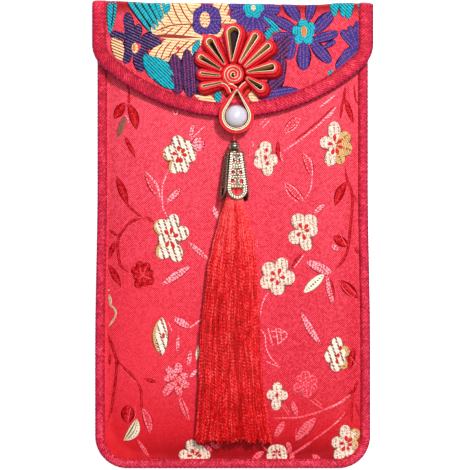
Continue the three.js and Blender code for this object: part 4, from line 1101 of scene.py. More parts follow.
flapMotifs = [
    # left side: turquoise strip and fan, dark striped flower
    leaf("turquoise", (114.5, -18), (110.4, 34), 5.6, lean=0.8, blunt=0.5),
    stem("ink", (114.6, -8), (113.6, 14), (111.6, 29), half=0.8, layer=1),
    leaf("creamStripe", (115, 35.6), (121.4, 61.4), 6.8, blunt=0.45),
    oval("inkStripe", (134, 45.6), 10.4, 11.4),
    leaf("inkStripe", (132, 44), (128, 13), 6.4, bend=-0.6, lean=1.2, blunt=0.45),
    leaf("inkStripe", (136, 44), (139.4, 24.4), 4.6, lean=1.2, blunt=0.45),
    leaf("inkStripe", (127, 38), (109.8, 34.4), 5.6, blunt=0.5),
    leaf("inkStripe", (136, 47), (160, 34.4), 7.2, lean=1.1, blunt=0.5),
    leaf("inkStripe", (138, 47), (163, 43), 5.4, blunt=0.55),
    *leaves("inkStripe", [((138, 48), (147, 60), 6.0), ((135.4, 53), (142, 73), 5.4),
        ((130, 48), (125.6, 64.4), 5.6)], blunt=0.5),
    oval("peach", (135.2, 48.8), 3.7, 5.2, layer=2), oval("gold", (134.6, 48.6), 2.3, 3.6),
    # wide veined leaf
    leaf("peach", (152, 33), (200, 3), 15.5, bend=1.0, lean=0.95, blunt=0.55),
    *leaves("peach", [((160, 12), (202, -14), 14), ((153, 33), (200, 33), 8.4)], blunt=0.5),
    leaf("peach", (149.6, 57), (203, 38), 10, bend=-1.5, blunt=0.5),
    *leaves("peach", [((150, 58), (197, 52), 7.6), ((212, 30), (229, -12), 9),
        ((216, 21), (240, 20), 4.8), ((165, 46), (203, 44), 5), ((207, 40), (224, 30), 5)], blunt=0.5),
    stem("vein", (155, 32.4), (170, 26.6), (182, 25.2), (195, 24.6), half=0.8),
    leaf("vein", (155.6, 36.2), (201, 38.4), 2.2, lean=0.6),
    *stems("vein", (0.6, (160, 62), (176, 54), (193, 52)), (0.8, (171, 0), (176, 14), (182, 24.4)),
        (0.8, (177.4, 0), (184, 14), (191, 24)), (0.7, (184, 0), (189, 10), (194, 15)),
        (0.7, (167, 14), (170, 19), (173.6, 25.4)), (0.6, (160.6, 22), (163.6, 25), (165.4, 28)),
        (0.8, (192, 26.4), (186, 33), (180, 39)), (0.8, (183, 26.6), (177, 33), (170.6, 38.4)),
        (0.7, (174, 28), (168, 33), (163.6, 36.6)), (0.6, (165, 30), (161, 33)),
        (0.8, (198, 40.6), (190, 47), (184, 52.6)), (0.8, (190, 40.8), (181, 49), (175, 56)),
        (0.7, (181, 41), (173, 50), (168.4, 60)), (0.7, (172, 41.6), (165, 50), (160.6, 61)),
        (0.6, (164, 44.6), (158, 52), (155, 60)), (0.7, (223, 2), (219, 11), (216, 16)),
        (0.6, (229, 4), (224, 12)), (0.6, (226, 20), (223, 24)), (0.6, (232, 19), (229, 22.6))),
    *leaves("ink", [(*line, 3.9) for line in fanLines], lean=0.8, blunt=0.3, layer=0),
    *leaves("lagoon", [(*line, 2.7) for line in fanLines], lean=0.8, blunt=0.3, layer=1),
    # ring flower
    *petals("indigo", (207, 20.5), [(95, 16, 7.6), (140, 15.5, 7.6), (180, 14, 7.6), (225, 17, 7.6),
        (268, 14.5, 7.6), (312, 17.5, 7.6), (0, 14.6, 7.6), (48, 15.4, 7.6)], start=1, blunt=0.45,
        layer=2),
    oval("peach", (205, 20.4), 6.6, 8.0, layer=3),
    *petals("seed", (205, 20.4), [(a, 6.2, 0.7) for a in range(20, 380, 45)], start=3.2, lean=1.0,
        layer=4),
    *petals("vein", (205, 20.4), [(a, 2.8, 0.5) for a in range(0, 360, 90)], start=0.8, lean=1.0,
        layer=4),
    # turquoise blossom at the fold, among dark petals
    *petals("indigo", (253.5, 9), [(172, 25, 7), (200, 25, 6.6), (222, 22, 6.4), (246, 27, 6.4),
        (268, 25, 6), (290, 27, 6.2), (312, 25, 6), (332, 26, 6.4), (356, 27, 7), (20, 22, 7),
        (60, 20, 7), (120, 20, 7), (150, 22, 7)], start=2, blunt=0.45),
    *petals("lagoon", (253.5, 8.8), [(0, 10.4, 5.2), (55, 10.4, 5.2), (120, 10.4, 5.2), (180, 10.4, 5.2),
        (232, 10.4, 5.2), (295, 10.4, 5.2)], start=1.0, blunt=0.45, layer=1),
    oval("peach", (253.3, 8.6), 3.0, 3.2, layer=2),
    *leaves("turquoise", [((263.5, 17), (281, 33), 3.0), ((262.5, 42.5), (273, 28.5), 4.4),
        ((267, 31), (278.5, 30), 3.6)], layer=1),
    # large daisy
    *leaves("indigo", [((299, 22), (283.6, -2), 7.2), ((307.6, 22), (313, -2), 5.6),
        ((312, 34), (332.4, 13.6), 7.2), ((310, 42), (338, 33.4), 5.6),
        ((323, 48.6), (335.6, 41.6), 3.0), ((309, 40), (330, 63.4), 6.6),
        ((303.4, 40), (303.2, 70.8), 7.8), ((293.6, 36), (288.6, 60.4), 6.0),
        ((292, 44), (275.4, 60), 4.8), ((296, 37.6), (272.4, 38), 5.6), ((298, 33), (274.6, 19), 6.2)],
        lean=1.2, blunt=0.42),
    *petals("lagoon", (303.8, 32.6), [(96, 12.8, 6.0), (36, 12.6, 6.0), (-16, 10, 6.0), (-62, 13.4, 6.0),
        (236, 13.4, 6.0), (170, 12, 6.0)], start=1, blunt=0.42, layer=1),
    leaf("gold", (303.8, 26), (303.8, 38.4), 3.9, blunt=0.8),
    # right side
    *leaves("turquoise", [((335, -16), (334, 16.8), 5.8), ((343.6, -16), (342.8, 18.2), 4.8),
        ((350.4, -16), (347.6, 20), 5.4)], blunt=0.45),
    leaf("turquoise", (358.6, -16), (360.8, 18.8), 3.2, blunt=0.6),
    *leaves("indigo", [((359, 50), (340.6, 31), 6.0), ((358.4, 50), (349, 26.6), 5.2),
        ((358.6, 50), (357.6, 21.6), 6.2), ((360, 49.4), (341, 58), 7.0)], blunt=0.42),
    leaf("indigo", (359, 50), (336, 70.4), 8.4, blunt=0.45), oval("turquoise", (330.6, 74.6), 3.8, 4.0),
    # round the knot
    *leaves("navy", [((289, 38), (272, 54), 8.4), ((288, 49), (272, 63), 6.4),
        ((282, 56), (279, 84), 6.4)], blunt=0.42),
    leaf("navy", (284, 76), (264, 94), 7.4, blunt=0.45),
    leaf("indigo", (256, 98), (299, 91), 7.0, blunt=0.6),
    leaf("turquoise", (146, 56), (177, 89), 9.6, bend=2, blunt=0.5),
    *leaves("turquoise", [((145.4, 55), (156, 80), 6.6), ((152, 58), (174, 76), 6.4)], blunt=0.5),
    *leaves("navy", [((174.6, 55), (178.4, 95), 8.8), ((187, 50), (190, 99), 8.0),
        ((196, 52), (199, 99), 7.0)], blunt=0.42),
    leaf("turquoise", (199.8, 40), (192.4, 54), 3.6), leaf("peach", (195, 95.6), (216, 102.4), 5.0),
    leaf("turquoise", (218, 89), (218, 104), 4.4), leaf("peach", (249, 90), (257, 105), 5.0),
    # red cloth under the knot's strips, and dark ink inside its petals: painted shade, with the navy cloth
    # that shows in the top petal
    oval("seed", (235.6, 78.4), 22, 22, layer=2),
    *petals("ink", (235.6, 78), [(202, 36, 2.6), (178, 36, 2.6), (153, 41, 3.6), (127, 45, 4.2),
        (91, 49, 7), (60.5, 48, 3.4), (39, 48, 3.4), (10.6, 44, 3.6), (-25, 34, 3.2)], start=14,
        lean=1.6, layer=3),
]

frontThreads = motifPiece("front_threads", frontMotifs, onFrontCloth, "brocade")
flapThreads = motifPiece("flap_threads", flapMotifs, onFlapCloth, "flap_brocade")

# Flower knot: satin strips on edge, each lined with gold piping

knot = {"x": 0.3, "y": 61.1, "height": 3.4, "rosette": 4.75, "pitch": 1.2, "red": 0.78, "gold": 0.27,
        "spiralStart": 0.4, "spiralSteps": 140, "seatGap": -0.5, "lean": (0.9, -1.2),
        "tipSteps": 26, "sideSteps": 12, "baseSteps": 8}
petalTable = [
    # base angle, tip angle, reach, width
    (214, 201.3, 14.9, 4.7), (184, 178, 14.7, 4.7), (157, 152.5, 16.9, 5.9), (131, 126, 18.7, 6.6),
    (97, 90.5, 20.2, 8.6), (62, 60.5, 19.8, 6.1), (35.5, 39.6, 19.9, 5.8), (10, 10.7, 18, 6.5),
    (-17, -25.8, 14.3, 5.9),
]
# Edges of the strips: radius at the base, and what is added to the radius at the tip
petalBands = {"opening": (0.1, 0.0), "wall": 0.4, "goldOuter": (0.4, 0.55), "redInner": (0.48, 0.63),
              "redOuter": (1.4, 2.3), "flare": (0.3, 0.35)}
pearl = {"x": 1.4, "y": 45.15, "radius": 4.3, "height": 6.2, "base": 2.6, "sides": 48, "rings": 26}
loop = {"neckX": 1.6, "neckY": 54.8, "height": 3.0}
loopBands = {"opening": (0.12, 4.55), "goldOuter": (0.55, 5.65), "redInner": (0.65, 5.75),
             "redOuter": (1.3, 6.75)}
onFlap = cloth["thickness"] + cloth["gap"]
onFlapRibbon = onFlap + ribbon["thickness"] + cloth["gap"]

# Sections of the strips: share across from the opening outward, share of the height
satinSection = [(0.05, 0.0), (0.0, 0.12), (0.0, 0.55), (0.0, 0.8), (0.03, 0.9), (0.1, 0.965), (0.22, 1.0),
                (0.34, 0.975), (0.43, 0.925), (0.5, 0.895), (0.57, 0.925), (0.66, 0.98), (0.78, 1.0),
                (0.9, 0.96), (0.97, 0.88), (1.0, 0.76), (1.0, 0.5), (1.0, 0.12), (0.95, 0.0)]
petalSection = [(0.03, 0.0), (0.0, 0.12), (0.0, 0.55), (0.0, 0.82), (0.03, 0.92), (0.1, 0.98), (0.2, 1.0),
                (0.32, 0.985), (0.42, 0.92), (0.5, 0.8), (0.55, 0.72), (0.63, 0.7), (0.72, 0.68),
                (0.82, 0.56), (0.9, 0.4), (0.96, 0.2), (1.0, 0.08), (0.98, 0.0)]
pipingSection = [(0.0, 0.0), (0.0, 0.3), (0.06, 0.46), (0.26, 0.6), (0.5, 0.74), (0.63, 0.84), (0.67, 0.97),
                 (0.73, 1.05), (0.82, 1.07), (0.91, 1.05), (0.98, 1.0), (1.0, 0.9), (1.0, 0.45), (1.0, 0.0)]
roundSection = [(0.0, 0.0), (0.0, 0.8), (0.08, 0.95), (0.25, 1.04), (0.5, 1.07), (0.75, 1.04), (0.92, 0.95),
                (1.0, 0.8), (1.0, 0.0)]
loopSection = [(0.0, 0.0), (0.0, 0.6), (0.02, 0.9), (0.1, 1.0), (0.24, 1.02), (0.34, 0.92), (0.42, 0.68),
               (0.5, 0.88), (0.58, 1.0), (0.7, 1.06), (0.84, 1.06), (0.95, 1.0), (1.0, 0.9), (1.0, 0.45),
               (1.0, 0.0)]
satin = {"deep": dye(160, 4, 14), "base": dye(246, 32, 44), "light": dye(255, 112, 108), "weave": 0.55}
piping = {"deep": dye(58, 36, 12), "base": dye(176, 126, 60), "light": dye(255, 246, 214), "wrap": 0.5}


def satinFinish():
    material, inputs, place = newFinish("knotSatin", {"Specular IOR Level": 0.25, "Anisotropic": 0.4})
    along = place.attribute("along")
    rise = place.attribute("rise")
    yarn = place.noise(1300.0, 3.0, 0.7)
    weave = (along * (turn / satin["weave"]) + yarn * 4.0).sine()
    across = (place.attribute("across") - 0.5).size()
    # painted highlight: the satin lighter on the strip's two ridges and top, darker in the groove between
    crest = rise.step(0.7, 0.95) * 0.7 + rise.step(0.5, 0.66) * 0.3
    paintedRidgeHighlight = across.step(0.02, 0.14) * across.step(0.5, 0.38) * crest
    tone = (yarn - 0.5) * 0.9 + weave * 0.08 + paintedRidgeHighlight * 0.75
    colour = toned(tone, satin, (-0.1, 0.5), (0.6, 1.25))
    feed(inputs, colour=colour, rough=yarn * 0.2 + 0.4, normal=(weave * 0.3 + yarn).bump(0.3, 0.00012))
    return material


def pipingFinish():
    material, inputs, place = newFinish("knotPiping", {"Metallic": 0.1, "Specular IOR Level": 0.5})
    along = place.attribute("along")
    rise = place.attribute("rise")
    yarn = place.noise(1500.0, 2.0)
    wrap = (along * (turn / piping["wrap"]) + yarn * 2.0).sine()
    # the pale crest is partly the cream cord on top, partly a painted highlight
    crest = rise.step(0.86, 0.98)
    tone = (yarn - 0.5) * 0.6 + wrap * 0.06 + crest
    # browner lower on the wall: partly the wall's own bronze, partly painted shade
    body = (rise + yarn * 0.4).step(0.1, 1.1).mix(piping["deep"], piping["base"])
    colour = tone.step(0.3, 1.0).mix(body, piping["light"])
    feed(inputs, colour=colour, rough=yarn * 0.2 + 0.32, normal=(wrap * 0.04 + yarn).bump(0.3, 0.0001))
    return material


knotSatin = satinFinish()
knotPiping = pipingFinish()


def teardrop(base, baseRadius, tip, tipRadius):  # hull of two circles, with even steps on each arc and side
    base = np.asarray(base, float)
    tip = np.asarray(tip, float)
    axis = tip - base
    heading = math.atan2(axis[1], axis[0])
    lean = math.asin((tipRadius - baseRadius) / np.hypot(*axis))
    half = math.pi / 2 + lean
    tipAngles = heading + np.linspace(-half, half, knot["tipSteps"])
    baseAngles = heading + np.linspace(half, turn - half, knot["baseSteps"])
    tipArc = tip + tipRadius * np.stack([np.cos(tipAngles), np.sin(tipAngles)], -1)
    baseArc = base + baseRadius * np.stack([np.cos(baseAngles), np.sin(baseAngles)], -1)
    share = np.linspace(0, 1, knot["sideSteps"] + 2)[1:-1, None]
    goingIn = between(tipArc[-1], baseArc[0], share)
    goingOut = between(baseArc[-1], tipArc[0], share)
    return np.concatenate([tipArc, goingIn, baseArc, goingOut])


# outline gives the strip's line at a share of the way across
def stripSkin(outline, section, level, height, closedPath, lean=(0, 0)):
    across, rises = np.array(section).T
    lines = np.stack([outline(share) for share in across], 1)
    lines = lines + np.array(lean) * (1 - rises)[None, :, None]
    rise = rises * height
    z = flapUnder(lines[..., 0], lines[..., 1]) + level + rise[None, :]
    middle = lines.mean(1)
    along = np.concatenate([[0], np.cumsum(np.hypot(*np.diff(middle, axis=0).T))])
    skin = loft(np.concatenate([lines, z[..., None]], -1), closedPath)
    fields = {
        "along": np.repeat(along, len(section)),
        "rise": np.tile(rises, len(lines)),
        "across": np.tile(across, len(lines)),
    }
    return skin, fields


def stripPiece(name, skins, material, slot, *nodes):
    fields = {key: np.concatenate([fields[key] for _, fields in skins]) for key in skins[0][1]}
    return settle(makePiece(name, joined([skin for skin, _ in skins]), [material], fields), slot, *nodes)


def fromRosette(angle, distance):
    angle = np.radians(angle)
    return np.stack([knot["x"] + distance * np.cos(angle), knot["y"] + distance * np.sin(angle)], -1)


def bandSkin(base, tip, tipRadius, inside, outside, section, level, height, lean=(0, 0)):
    def outline(across):
        baseRadius = between(inside[0], outside[0], across)
        fromTip = between(inside[1], outside[1], across)
        return teardrop(base, max(baseRadius, 0.05), tip, tipRadius + fromTip)
    return stripSkin(outline, section, level, height, True, lean)


def spiralSkin(offset, width, section):
    turns = (knot["rosette"] - knot["spiralStart"] - knot["red"]) / knot["pitch"]
    share = np.linspace(0, 1, knot["spiralSteps"])

    def outline(across):
        radius = knot["spiralStart"] + knot["pitch"] * turns * share + offset + width * across
        return fromRosette(360 * turns * (share - 1) - 90, radius)
    return stripSkin(outline, section, onFlap, knot["height"], False, knot["lean"])


# Strips that lead from the rosette to the loop's neck, and one loose end, in pixels
arms = {
    "red": (0.1, 1.2), "gold": (-0.42, 0.02), "height": 3.2,
    "lines": [[(221, 84.4), (225.4, 85.6), (228.4, 89.2), (230.2, 93.6)],
              [(228.6, 85.4), (233, 86.2), (236, 88.6), (237.2, 92.6)],
              [(238.4, 93), (239.6, 89), (242, 85.8), (245.6, 83)]],
}


def armSkin(line, low, high, section):
    x, y = onPhoto(*spineCurve(line, 18).T)
    heading = np.stack([np.gradient(x), np.gradient(y)], -1)
    heading /= np.linalg.norm(heading, axis=1, keepdims=True)
    out = np.stack([heading[:, 1], -heading[:, 0]], -1)  # to the right of the line as it runs

    def outline(across):
        return np.stack([x, y], -1) + out * between(low, high, across)
    return stripSkin(outline, section, onFlap, arms["height"], False, knot["lean"])


def makeKnot():
    seat = knot["rosette"] + knot["seatGap"] + petalBands["redOuter"][0]
    reds, golds = [], []
    for baseAngle, tipAngle, reach, width in petalTable:
        tipRadius = width / 2 - petalBands["redOuter"][1]
        base = fromRosette(baseAngle, seat)
        tip = fromRosette(tipAngle, reach - width / 2)
        outside = np.add(petalBands["redOuter"], petalBands["flare"])
        reds.append(bandSkin(base, tip, tipRadius, petalBands["redInner"], outside, petalSection, onFlap,
                             knot["height"], knot["lean"]))
        inner = petalBands["opening"][1] - petalBands["wall"] * min(tipRadius, 1)
        opening = (petalBands["opening"][0], inner)
        golds.append(bandSkin(base, tip, tipRadius, opening, petalBands["goldOuter"], pipingSection, onFlap,
                              knot["height"], knot["lean"]))
    numbers = range(1, len(petalTable) + 1)
    stripPiece("knot_petals", reds, knotSatin, "knot_red", *[f"petal_{k}" for k in numbers])
    stripPiece("knot_linings", golds, knotPiping, "knot_gold", *[f"petal_lining_{k}" for k in numbers])

    gap = (knot["pitch"] - knot["red"] - knot["gold"]) / 2
    red = spiralSkin(0.0, knot["red"], satinSection)
    gold = spiralSkin(-gap - knot["gold"], knot["gold"], roundSection)
    stripPiece("rosette_satin", [red], knotSatin, "knot_red", "frog_rosette")
    stripPiece("rosette_gold", [gold], knotPiping, "knot_gold", "rosette_piping")

    reds = [armSkin(line, *arms["red"], satinSection) for line in arms["lines"]]
    golds = [armSkin(line, *arms["gold"], roundSection) for line in arms["lines"]]
    stripPiece("knot_arms", reds, knotSatin, "knot_red")
    stripPiece("knot_arm_gold", golds, knotPiping, "knot_gold")

    ends = ((loop["neckX"], loop["neckY"]), (pearl["x"], pearl["y"]), 0.0)
    red = bandSkin(*ends, loopBands["redInner"], loopBands["redOuter"], satinSection, onFlapRibbon,
                   loop["height"])
    gold = bandSkin(*ends, loopBands["opening"], loopBands["goldOuter"], loopSection, onFlapRibbon,
                    loop["height"])
    stripPiece("loop_satin", [red], knotSatin, "knot_red", "frog_loop")
    stripPiece("loop_gold", [gold], knotPiping, "knot_gold", "loop_piping")


makeKnot()

# Pearl button

# warm and cool: the pearl's own tints; rim: painted shade towards its edges
lustre = {"warm": dye(222, 214, 222), "cool": dye(204, 204, 220), "rim": dye(136, 120, 128)}


def pearlFinish():
    gloss = {"Specular IOR Level": 0.6, "Coat Weight": 0.5, "Coat Roughness": 0.1}
    material, inputs, place = newFinish("pearlLustre", gloss)
    facing = place.node("LayerWeight", {}, {"Blend": 0.35}, 1)
    cloud = place.noise(420.0, 2.0)
    # painted shade: darker towards the pearl's edge as it turns away
    paintedRimShade = (cloud - 0.5) * 0.35 + facing
    colour = paintedRimShade.step(0.05, 0.7).mix(cloud.mix(lustre["warm"], lustre["cool"]), lustre["rim"])
    feed(inputs, colour=colour, rough=cloud * 0.12 + 0.14)
    return material


def makePearl():
    lowest = -math.acos(pearl["base"] / pearl["radius"])
    halfHeight = pearl["height"] / (1 - math.sin(lowest))
    seat = [pearl["x"], pearl["y"], float(flapUnder(pearl["x"], pearl["y"])) + onFlapRibbon]
    around = np.linspace(0, turn, pearl["sides"], endpoint=False)
    rings = []
    for up in np.linspace(lowest, math.pi / 2 - 0.02, pearl["rings"]):
        radius = pearl["radius"] * math.cos(up)
        height = np.full(len(around), halfHeight * (math.sin(up) - math.sin(lowest)))
        rings.append(np.stack([radius * np.cos(around), radius * np.sin(around), height], -1) + seat)
    settle(makePiece("pearl_button", loft(rings), [pearlFinish()]), "pearl", "pearl")


makePearl()

# Tassel: cord, bead and pierced cap on one line that rises as it leaves the flap

tassel = {"x": 0.6, "y": 40.6, "drop": 1.05, "tilt": -0.115, "cord": 0.6, "cordLength": 11.0,
          "cordSteps": 60, "cordSides": 8, "cordLay": 2.6, "plyShare": 0.56, "apartShare": 0.42,
          "beadAlong": 7.1, "bead": 2.2, "beadRings": 26, "beadSides": 36, "capAlong": 9.6}
cap = {"length": 18.6, "top": 2.1, "bottom": 3.9, "wall": 0.6, "cornerGap": 0.1, "plate": 0.5, "lobe": 3.8,
       "turn": 0.33, "tongues": 4, "spread": 1.12, "press": 0.86, "bevel": 0.13, "wire": 0.3, "bead": 0.95,
       "wireStep": 0.13, "wireSides": 6, "rimSpread": 1.18, "paintedSideLight": 0.32,
       "archRise": 0.6, "archHalf": 2.1, "archDepth": 2.6,
       "rows": [-0.7, -5.3, -6.0, -9.7, -13.4],
       # y, spacing, width and height of each pair of holes
       "holes": [(-3.4, 2.0, 0.9, 2.6), (-7.9, 2.7, 1.6, 1.7), (-11.4, 3.4, 1.9, 1.9)]}
tasselZ = float(flapUnder(pearl["x"], pearl["y"])) + onFlapRibbon - tassel["drop"]


def onLine(points):  # from the tassel's own line, hanging along -Y, to the envelope
    points = np.asarray(points, float)
    c, s = math.cos(tassel["tilt"]), math.sin(tassel["tilt"])
    y = points[..., 1] * c - points[..., 2] * s
    z = points[..., 1] * s + points[..., 2] * c
    return np.stack([points[..., 0] + tassel["x"], y + tassel["y"], z + tasselZ], -1)


metals = {
    "antiqueMetal": {"dark": dye(78, 38, 24), "pale": dye(214, 190, 156), "warm": dye(170, 136, 100),
                     "bright": 0.36, "beaded": True, "metal": 0.7},
    "brightWire": {"dark": dye(88, 50, 34), "pale": dye(255, 250, 240), "warm": dye(246, 232, 204),
                   "bright": 0.95, "beaded": True, "metal": 0.45},
    "beadMetal": {"dark": dye(92, 78, 68), "pale": dye(214, 202, 188), "warm": dye(176, 156, 136),
                  "bright": 0.5, "beaded": False, "metal": 1.0},
}
silk = {"deep": dye(164, 0, 2), "base": dye(228, 2, 12), "light": dye(255, 96, 98), "twist": 1.3,
        "fleck": 0.55}


def metalFinish(name):
    look = metals[name]
    material, inputs, place = newFinish(name, {"Metallic": look["metal"], "Specular IOR Level": 0.5})
    stain = place.noise(900.0, 4.0, 0.65)
    cloud = place.noise(240.0, 2.0)
    tone = (stain - 0.5) * 1.6 + (cloud - 0.5) * 0.8 + look["bright"]
    # swell darkens the metal between a wire's beads, and carries the painted shade of the cap's side
    # tongues
    if look["beaded"]:
        tone = tone * place.attribute("swell").step(0.1, 0.75)
    colour = tone.step(0.0, 0.8).mix(look["dark"], cloud.mix(look["pale"], look["warm"]))
    feed(inputs, colour=colour, rough=(1 - stain) * 0.4 + 0.14, normal=stain.bump(0.25, 0.0001))
    return material


def silkFinish():
    material, inputs, place = newFinish("tasselSilk", {"Specular IOR Level": 0.2})
    along = place.attribute("along") / mm
    phase = place.attribute("phase")
    tint = place.attribute("tint")
    ring = place.attribute("ring", 1)
    around = place.node("Math", {"operation": "ARCTAN2"}, {0: ring.part(1), 1: ring.part(0)})
    wander = place.noise(500.0, 2.0)
    ply = (around * 2.0 + along * (turn / silk["twist"]) + phase + wander * 2.0).sine()
    shade = place.noise(160.0, 2.0)
    # painted highlight: the strands lighter towards the top, near the cap
    top = place.part(1).step(-0.03, 0.015)
    fleck = (along / silk["fleck"]).speck(phase * 90.0 + around * 0.6)
    tone = ply * 0.22 + (tint - 0.5) * 0.7 + (shade - 0.5) * 0.5 + (wander - 0.5) * 0.7 + top * 0.54 + 0.33
    colour = toned(tone + (fleck - 0.5) * 0.7, silk, (-0.1, 0.5), (0.5, 1.2))
    feed(inputs, colour=colour, rough=(1 - shade) * 0.25 + 0.3, normal=ply.bump(0.4, 0.00014))
    return material


antiqueMetal = metalFinish("antiqueMetal")
brightWire = metalFinish("brightWire")
tasselSilk = silkFinish()


def makeBead():
    bore = tassel["cord"] + 0.2
    lowest = math.asin(bore / tassel["bead"])
    profile = []
    for a in np.linspace(lowest, math.pi - lowest, tassel["beadRings"]):
        band = 0.06 * math.cos(10 * (a - math.pi / 2))
        profile.append(((tassel["bead"] + band) * math.sin(a), -(tassel["bead"] + band) * math.cos(a)))
    ends = [(bore, profile[-1][1]), (bore, profile[0][1])]
    angle = np.linspace(0, turn, tassel["beadSides"], endpoint=False)
    rings = []
    for radius, height in profile + ends:
        ring = np.stack([radius * np.cos(angle), np.full(len(angle), height), radius * np.sin(angle)], -1)
        rings.append(onLine(ring - [0, tassel["beadAlong"], 0]))
    settle(makePiece("bead", loft(rings, True), [metalFinish("beadMetal")]), "metal", "tassel_bead")


def tongueLines():  # outline of one tongue of the cap, then its pierced holes
    lobeY = cap["lobe"] - cap["length"]
    topHalf = cap["top"] - cap["cornerGap"]
    lobeHalf = between(cap["bottom"], cap["top"], cap["lobe"] / cap["length"]) - cap["cornerGap"]

    def arc(x, y, radiusX, radiusY, start, end, count):
        angle = np.linspace(start, end, count)
        return np.stack([x + radiusX * np.cos(angle), y + radiusY * np.sin(angle)], -1)

    lobe = arc(0, lobeY, lobeHalf, cap["lobe"], math.pi, turn, 24)
    outline = np.concatenate([[(-topHalf, 0)], lobe, [(topHalf, 0)]])
    holes = []
    for y, spacing, width, height in cap["holes"]:
        for side in (-1, 1):
            holes.append(arc(side * spacing / 2, y, width / 2, height / 2, 0, turn - turn / 20, 20))
    holes.append(arc(0, lobeY + cap["archRise"], cap["archHalf"], cap["archDepth"], math.pi, turn, 20))
    return outline, holes


def flatPlate(name, lines, depth, bevel):  # a pierced plate with rounded edges, as a mesh
    data = bpy.data.curves.new(name, "CURVE")
    data.dimensions = "2D"
    data.fill_mode = "BOTH"
    data.extrude = depth / 2 - bevel
    data.bevel_depth = bevel
    data.bevel_resolution = 2
    data.offset = -bevel
    for line in lines:
        spline = data.splines.new("POLY")
        spline.points.add(len(line) - 1)
        flat = np.concatenate([line, np.zeros((len(line), 1)), np.ones((len(line), 1))], 1)
        spline.points.foreach_set("co", flat.ravel())
        spline.use_cyclic_u = True
    holder = bpy.data.objects.new(name, data)
    bpy.context.collection.objects.link(holder)
    bpy.context.view_layer.update()
    mesh = bpy.data.meshes.new_from_object(holder.evaluated_get(bpy.context.evaluated_depsgraph_get()))
    points = np.empty(len(mesh.vertices) * 3)
    mesh.vertices.foreach_get("co", points)
    faces = [list(face.vertices) for face in mesh.polygons]
    bpy.data.objects.remove(holder)
    bpy.data.meshes.remove(mesh)
    bpy.data.curves.remove(data)
    return points.reshape(-1, 3), faces


def evenSteps(path, step, closedPath):  # the same line, in even short steps
    path = np.asarray(path, float)
    if closedPath:
        path = np.concatenate([path, path[:1]])
    length = np.concatenate([[0], np.cumsum(np.linalg.norm(np.diff(path, axis=0), axis=1))])
    count = max(int(length[-1] / step), 4)
    spots = np.linspace(0, length[-1], count, endpoint=not closedPath)
    return np.stack([np.interp(spots, length, path[:, k]) for k in range(path.shape[1])], -1), spots


def tubeSkin(path, radius, sides, closedPath=False):
    path = np.asarray(path, float)
    radius = np.broadcast_to(radius, len(path))[:, None, None]
    if closedPath:
        heading = np.roll(path, -1, 0) - np.roll(path, 1, 0)
    else:
        heading = np.gradient(path, axis=0)
    heading /= np.linalg.norm(heading, axis=1, keepdims=True)
    up = np.array([0, 0, 1.0])
    side = np.cross(heading, up)
    side /= np.maximum(np.linalg.norm(side, axis=1, keepdims=True), 1e-9)
    normal = np.cross(side, heading)
    angle = np.linspace(0, turn, sides, endpoint=False)[:, None]
    rings = path[:, None] + radius * (side[:, None] * np.cos(angle) + normal[:, None] * np.sin(angle))
    return loft(rings, closedPath)


def swung(a, b, angle):
    c, s = math.cos(angle), math.sin(angle)
    return a * c + b * s, b * c - a * s


def pressed(x, z):  # the cap's square section, wider than deep and turned on the cord
    return swung(x * cap["spread"], z * cap["press"], cap["turn"])


def makeCap():
    outline, holes = tongueLines()
    lean = math.atan((cap["bottom"] - cap["top"]) / cap["length"])
    plate = flatPlate("capTongue", [outline, *holes], cap["wall"], cap["bevel"])
    wires = [(outline * 0.95 + [0, -0.25], False), (outline * [0.78, 0.93] + [0, -0.25], False)]
    wires += [(hole, True) for hole in holes[:-1]]
    for y in cap["rows"]:
        half = between(cap["top"], cap["bottom"], -y / cap["length"]) * 0.85
        wires.append((np.array([(-half, y), (half, y)]), False))
    parts, kinds, swells = [], [], []

    def add(points, faces, kind, swell=None):
        parts.append((points, faces))
        kinds.extend([kind] * len(faces))
        swells.append(np.ones(len(points)) if swell is None else swell)

    def onTongue(points, k):
        x, y, z = (np.asarray(points, float)[..., j] for j in range(3))
        y, z = swung(y, z, lean)
        x, z = pressed(*swung(x, z + cap["top"], turn * k / cap["tongues"]))
        return onLine(np.stack([x, y - tassel["capAlong"], z], -1))

    for k in range(cap["tongues"]):
        # painted shade: the side tongues darker than the front one
        shine = 1.0 if k == 0 else cap["paintedSideLight"]
        points, faces = plate
        add(onTongue(points + [0, 0, cap["wall"] / 2], k), faces, 0, np.full(len(points), shine))
        for line, closedPath in wires:
            centre = line.mean(0)
            spread = centre + (line - centre) * (cap["rimSpread"] if closedPath else 1.0)
            raised = np.concatenate([spread, np.full((len(line), 1), cap["wall"])], 1)
            path, spots = evenSteps(raised, cap["wireStep"], closedPath)
            swell = np.abs(np.sin(math.pi * spots / cap["bead"]))
            radius = cap["wire"] * between(0.55, 1.0, swell)
            points, faces = tubeSkin(path, radius, cap["wireSides"], closedPath)
            add(onTongue(points, k), faces, 1, np.repeat(swell * shine, cap["wireSides"]))
    half = cap["top"] + cap["wall"]
    square = np.array([(-half, -half), (half, -half), (half, half), (-half, half)], float)
    angle = np.linspace(0, turn, 24, endpoint=False)
    bore = (tassel["cord"] + 0.4) * np.stack([np.cos(angle), np.sin(angle)], -1)
    points, faces = flatPlate("capPlate", [square, bore], 2 * cap["plate"], cap["bevel"])
    x, z = pressed(points[:, 0], points[:, 1])
    add(onLine(np.stack([x, -points[:, 2] - tassel["capAlong"], z], -1)), faces, 0)
    fields = {"swell": np.concatenate(swells)}
    piece = makePiece("filigree_cap", joined(parts), [antiqueMetal, brightWire], fields, kinds)
    settle(piece, "metal", "tassel_cap")


makeBead()
makeCap()


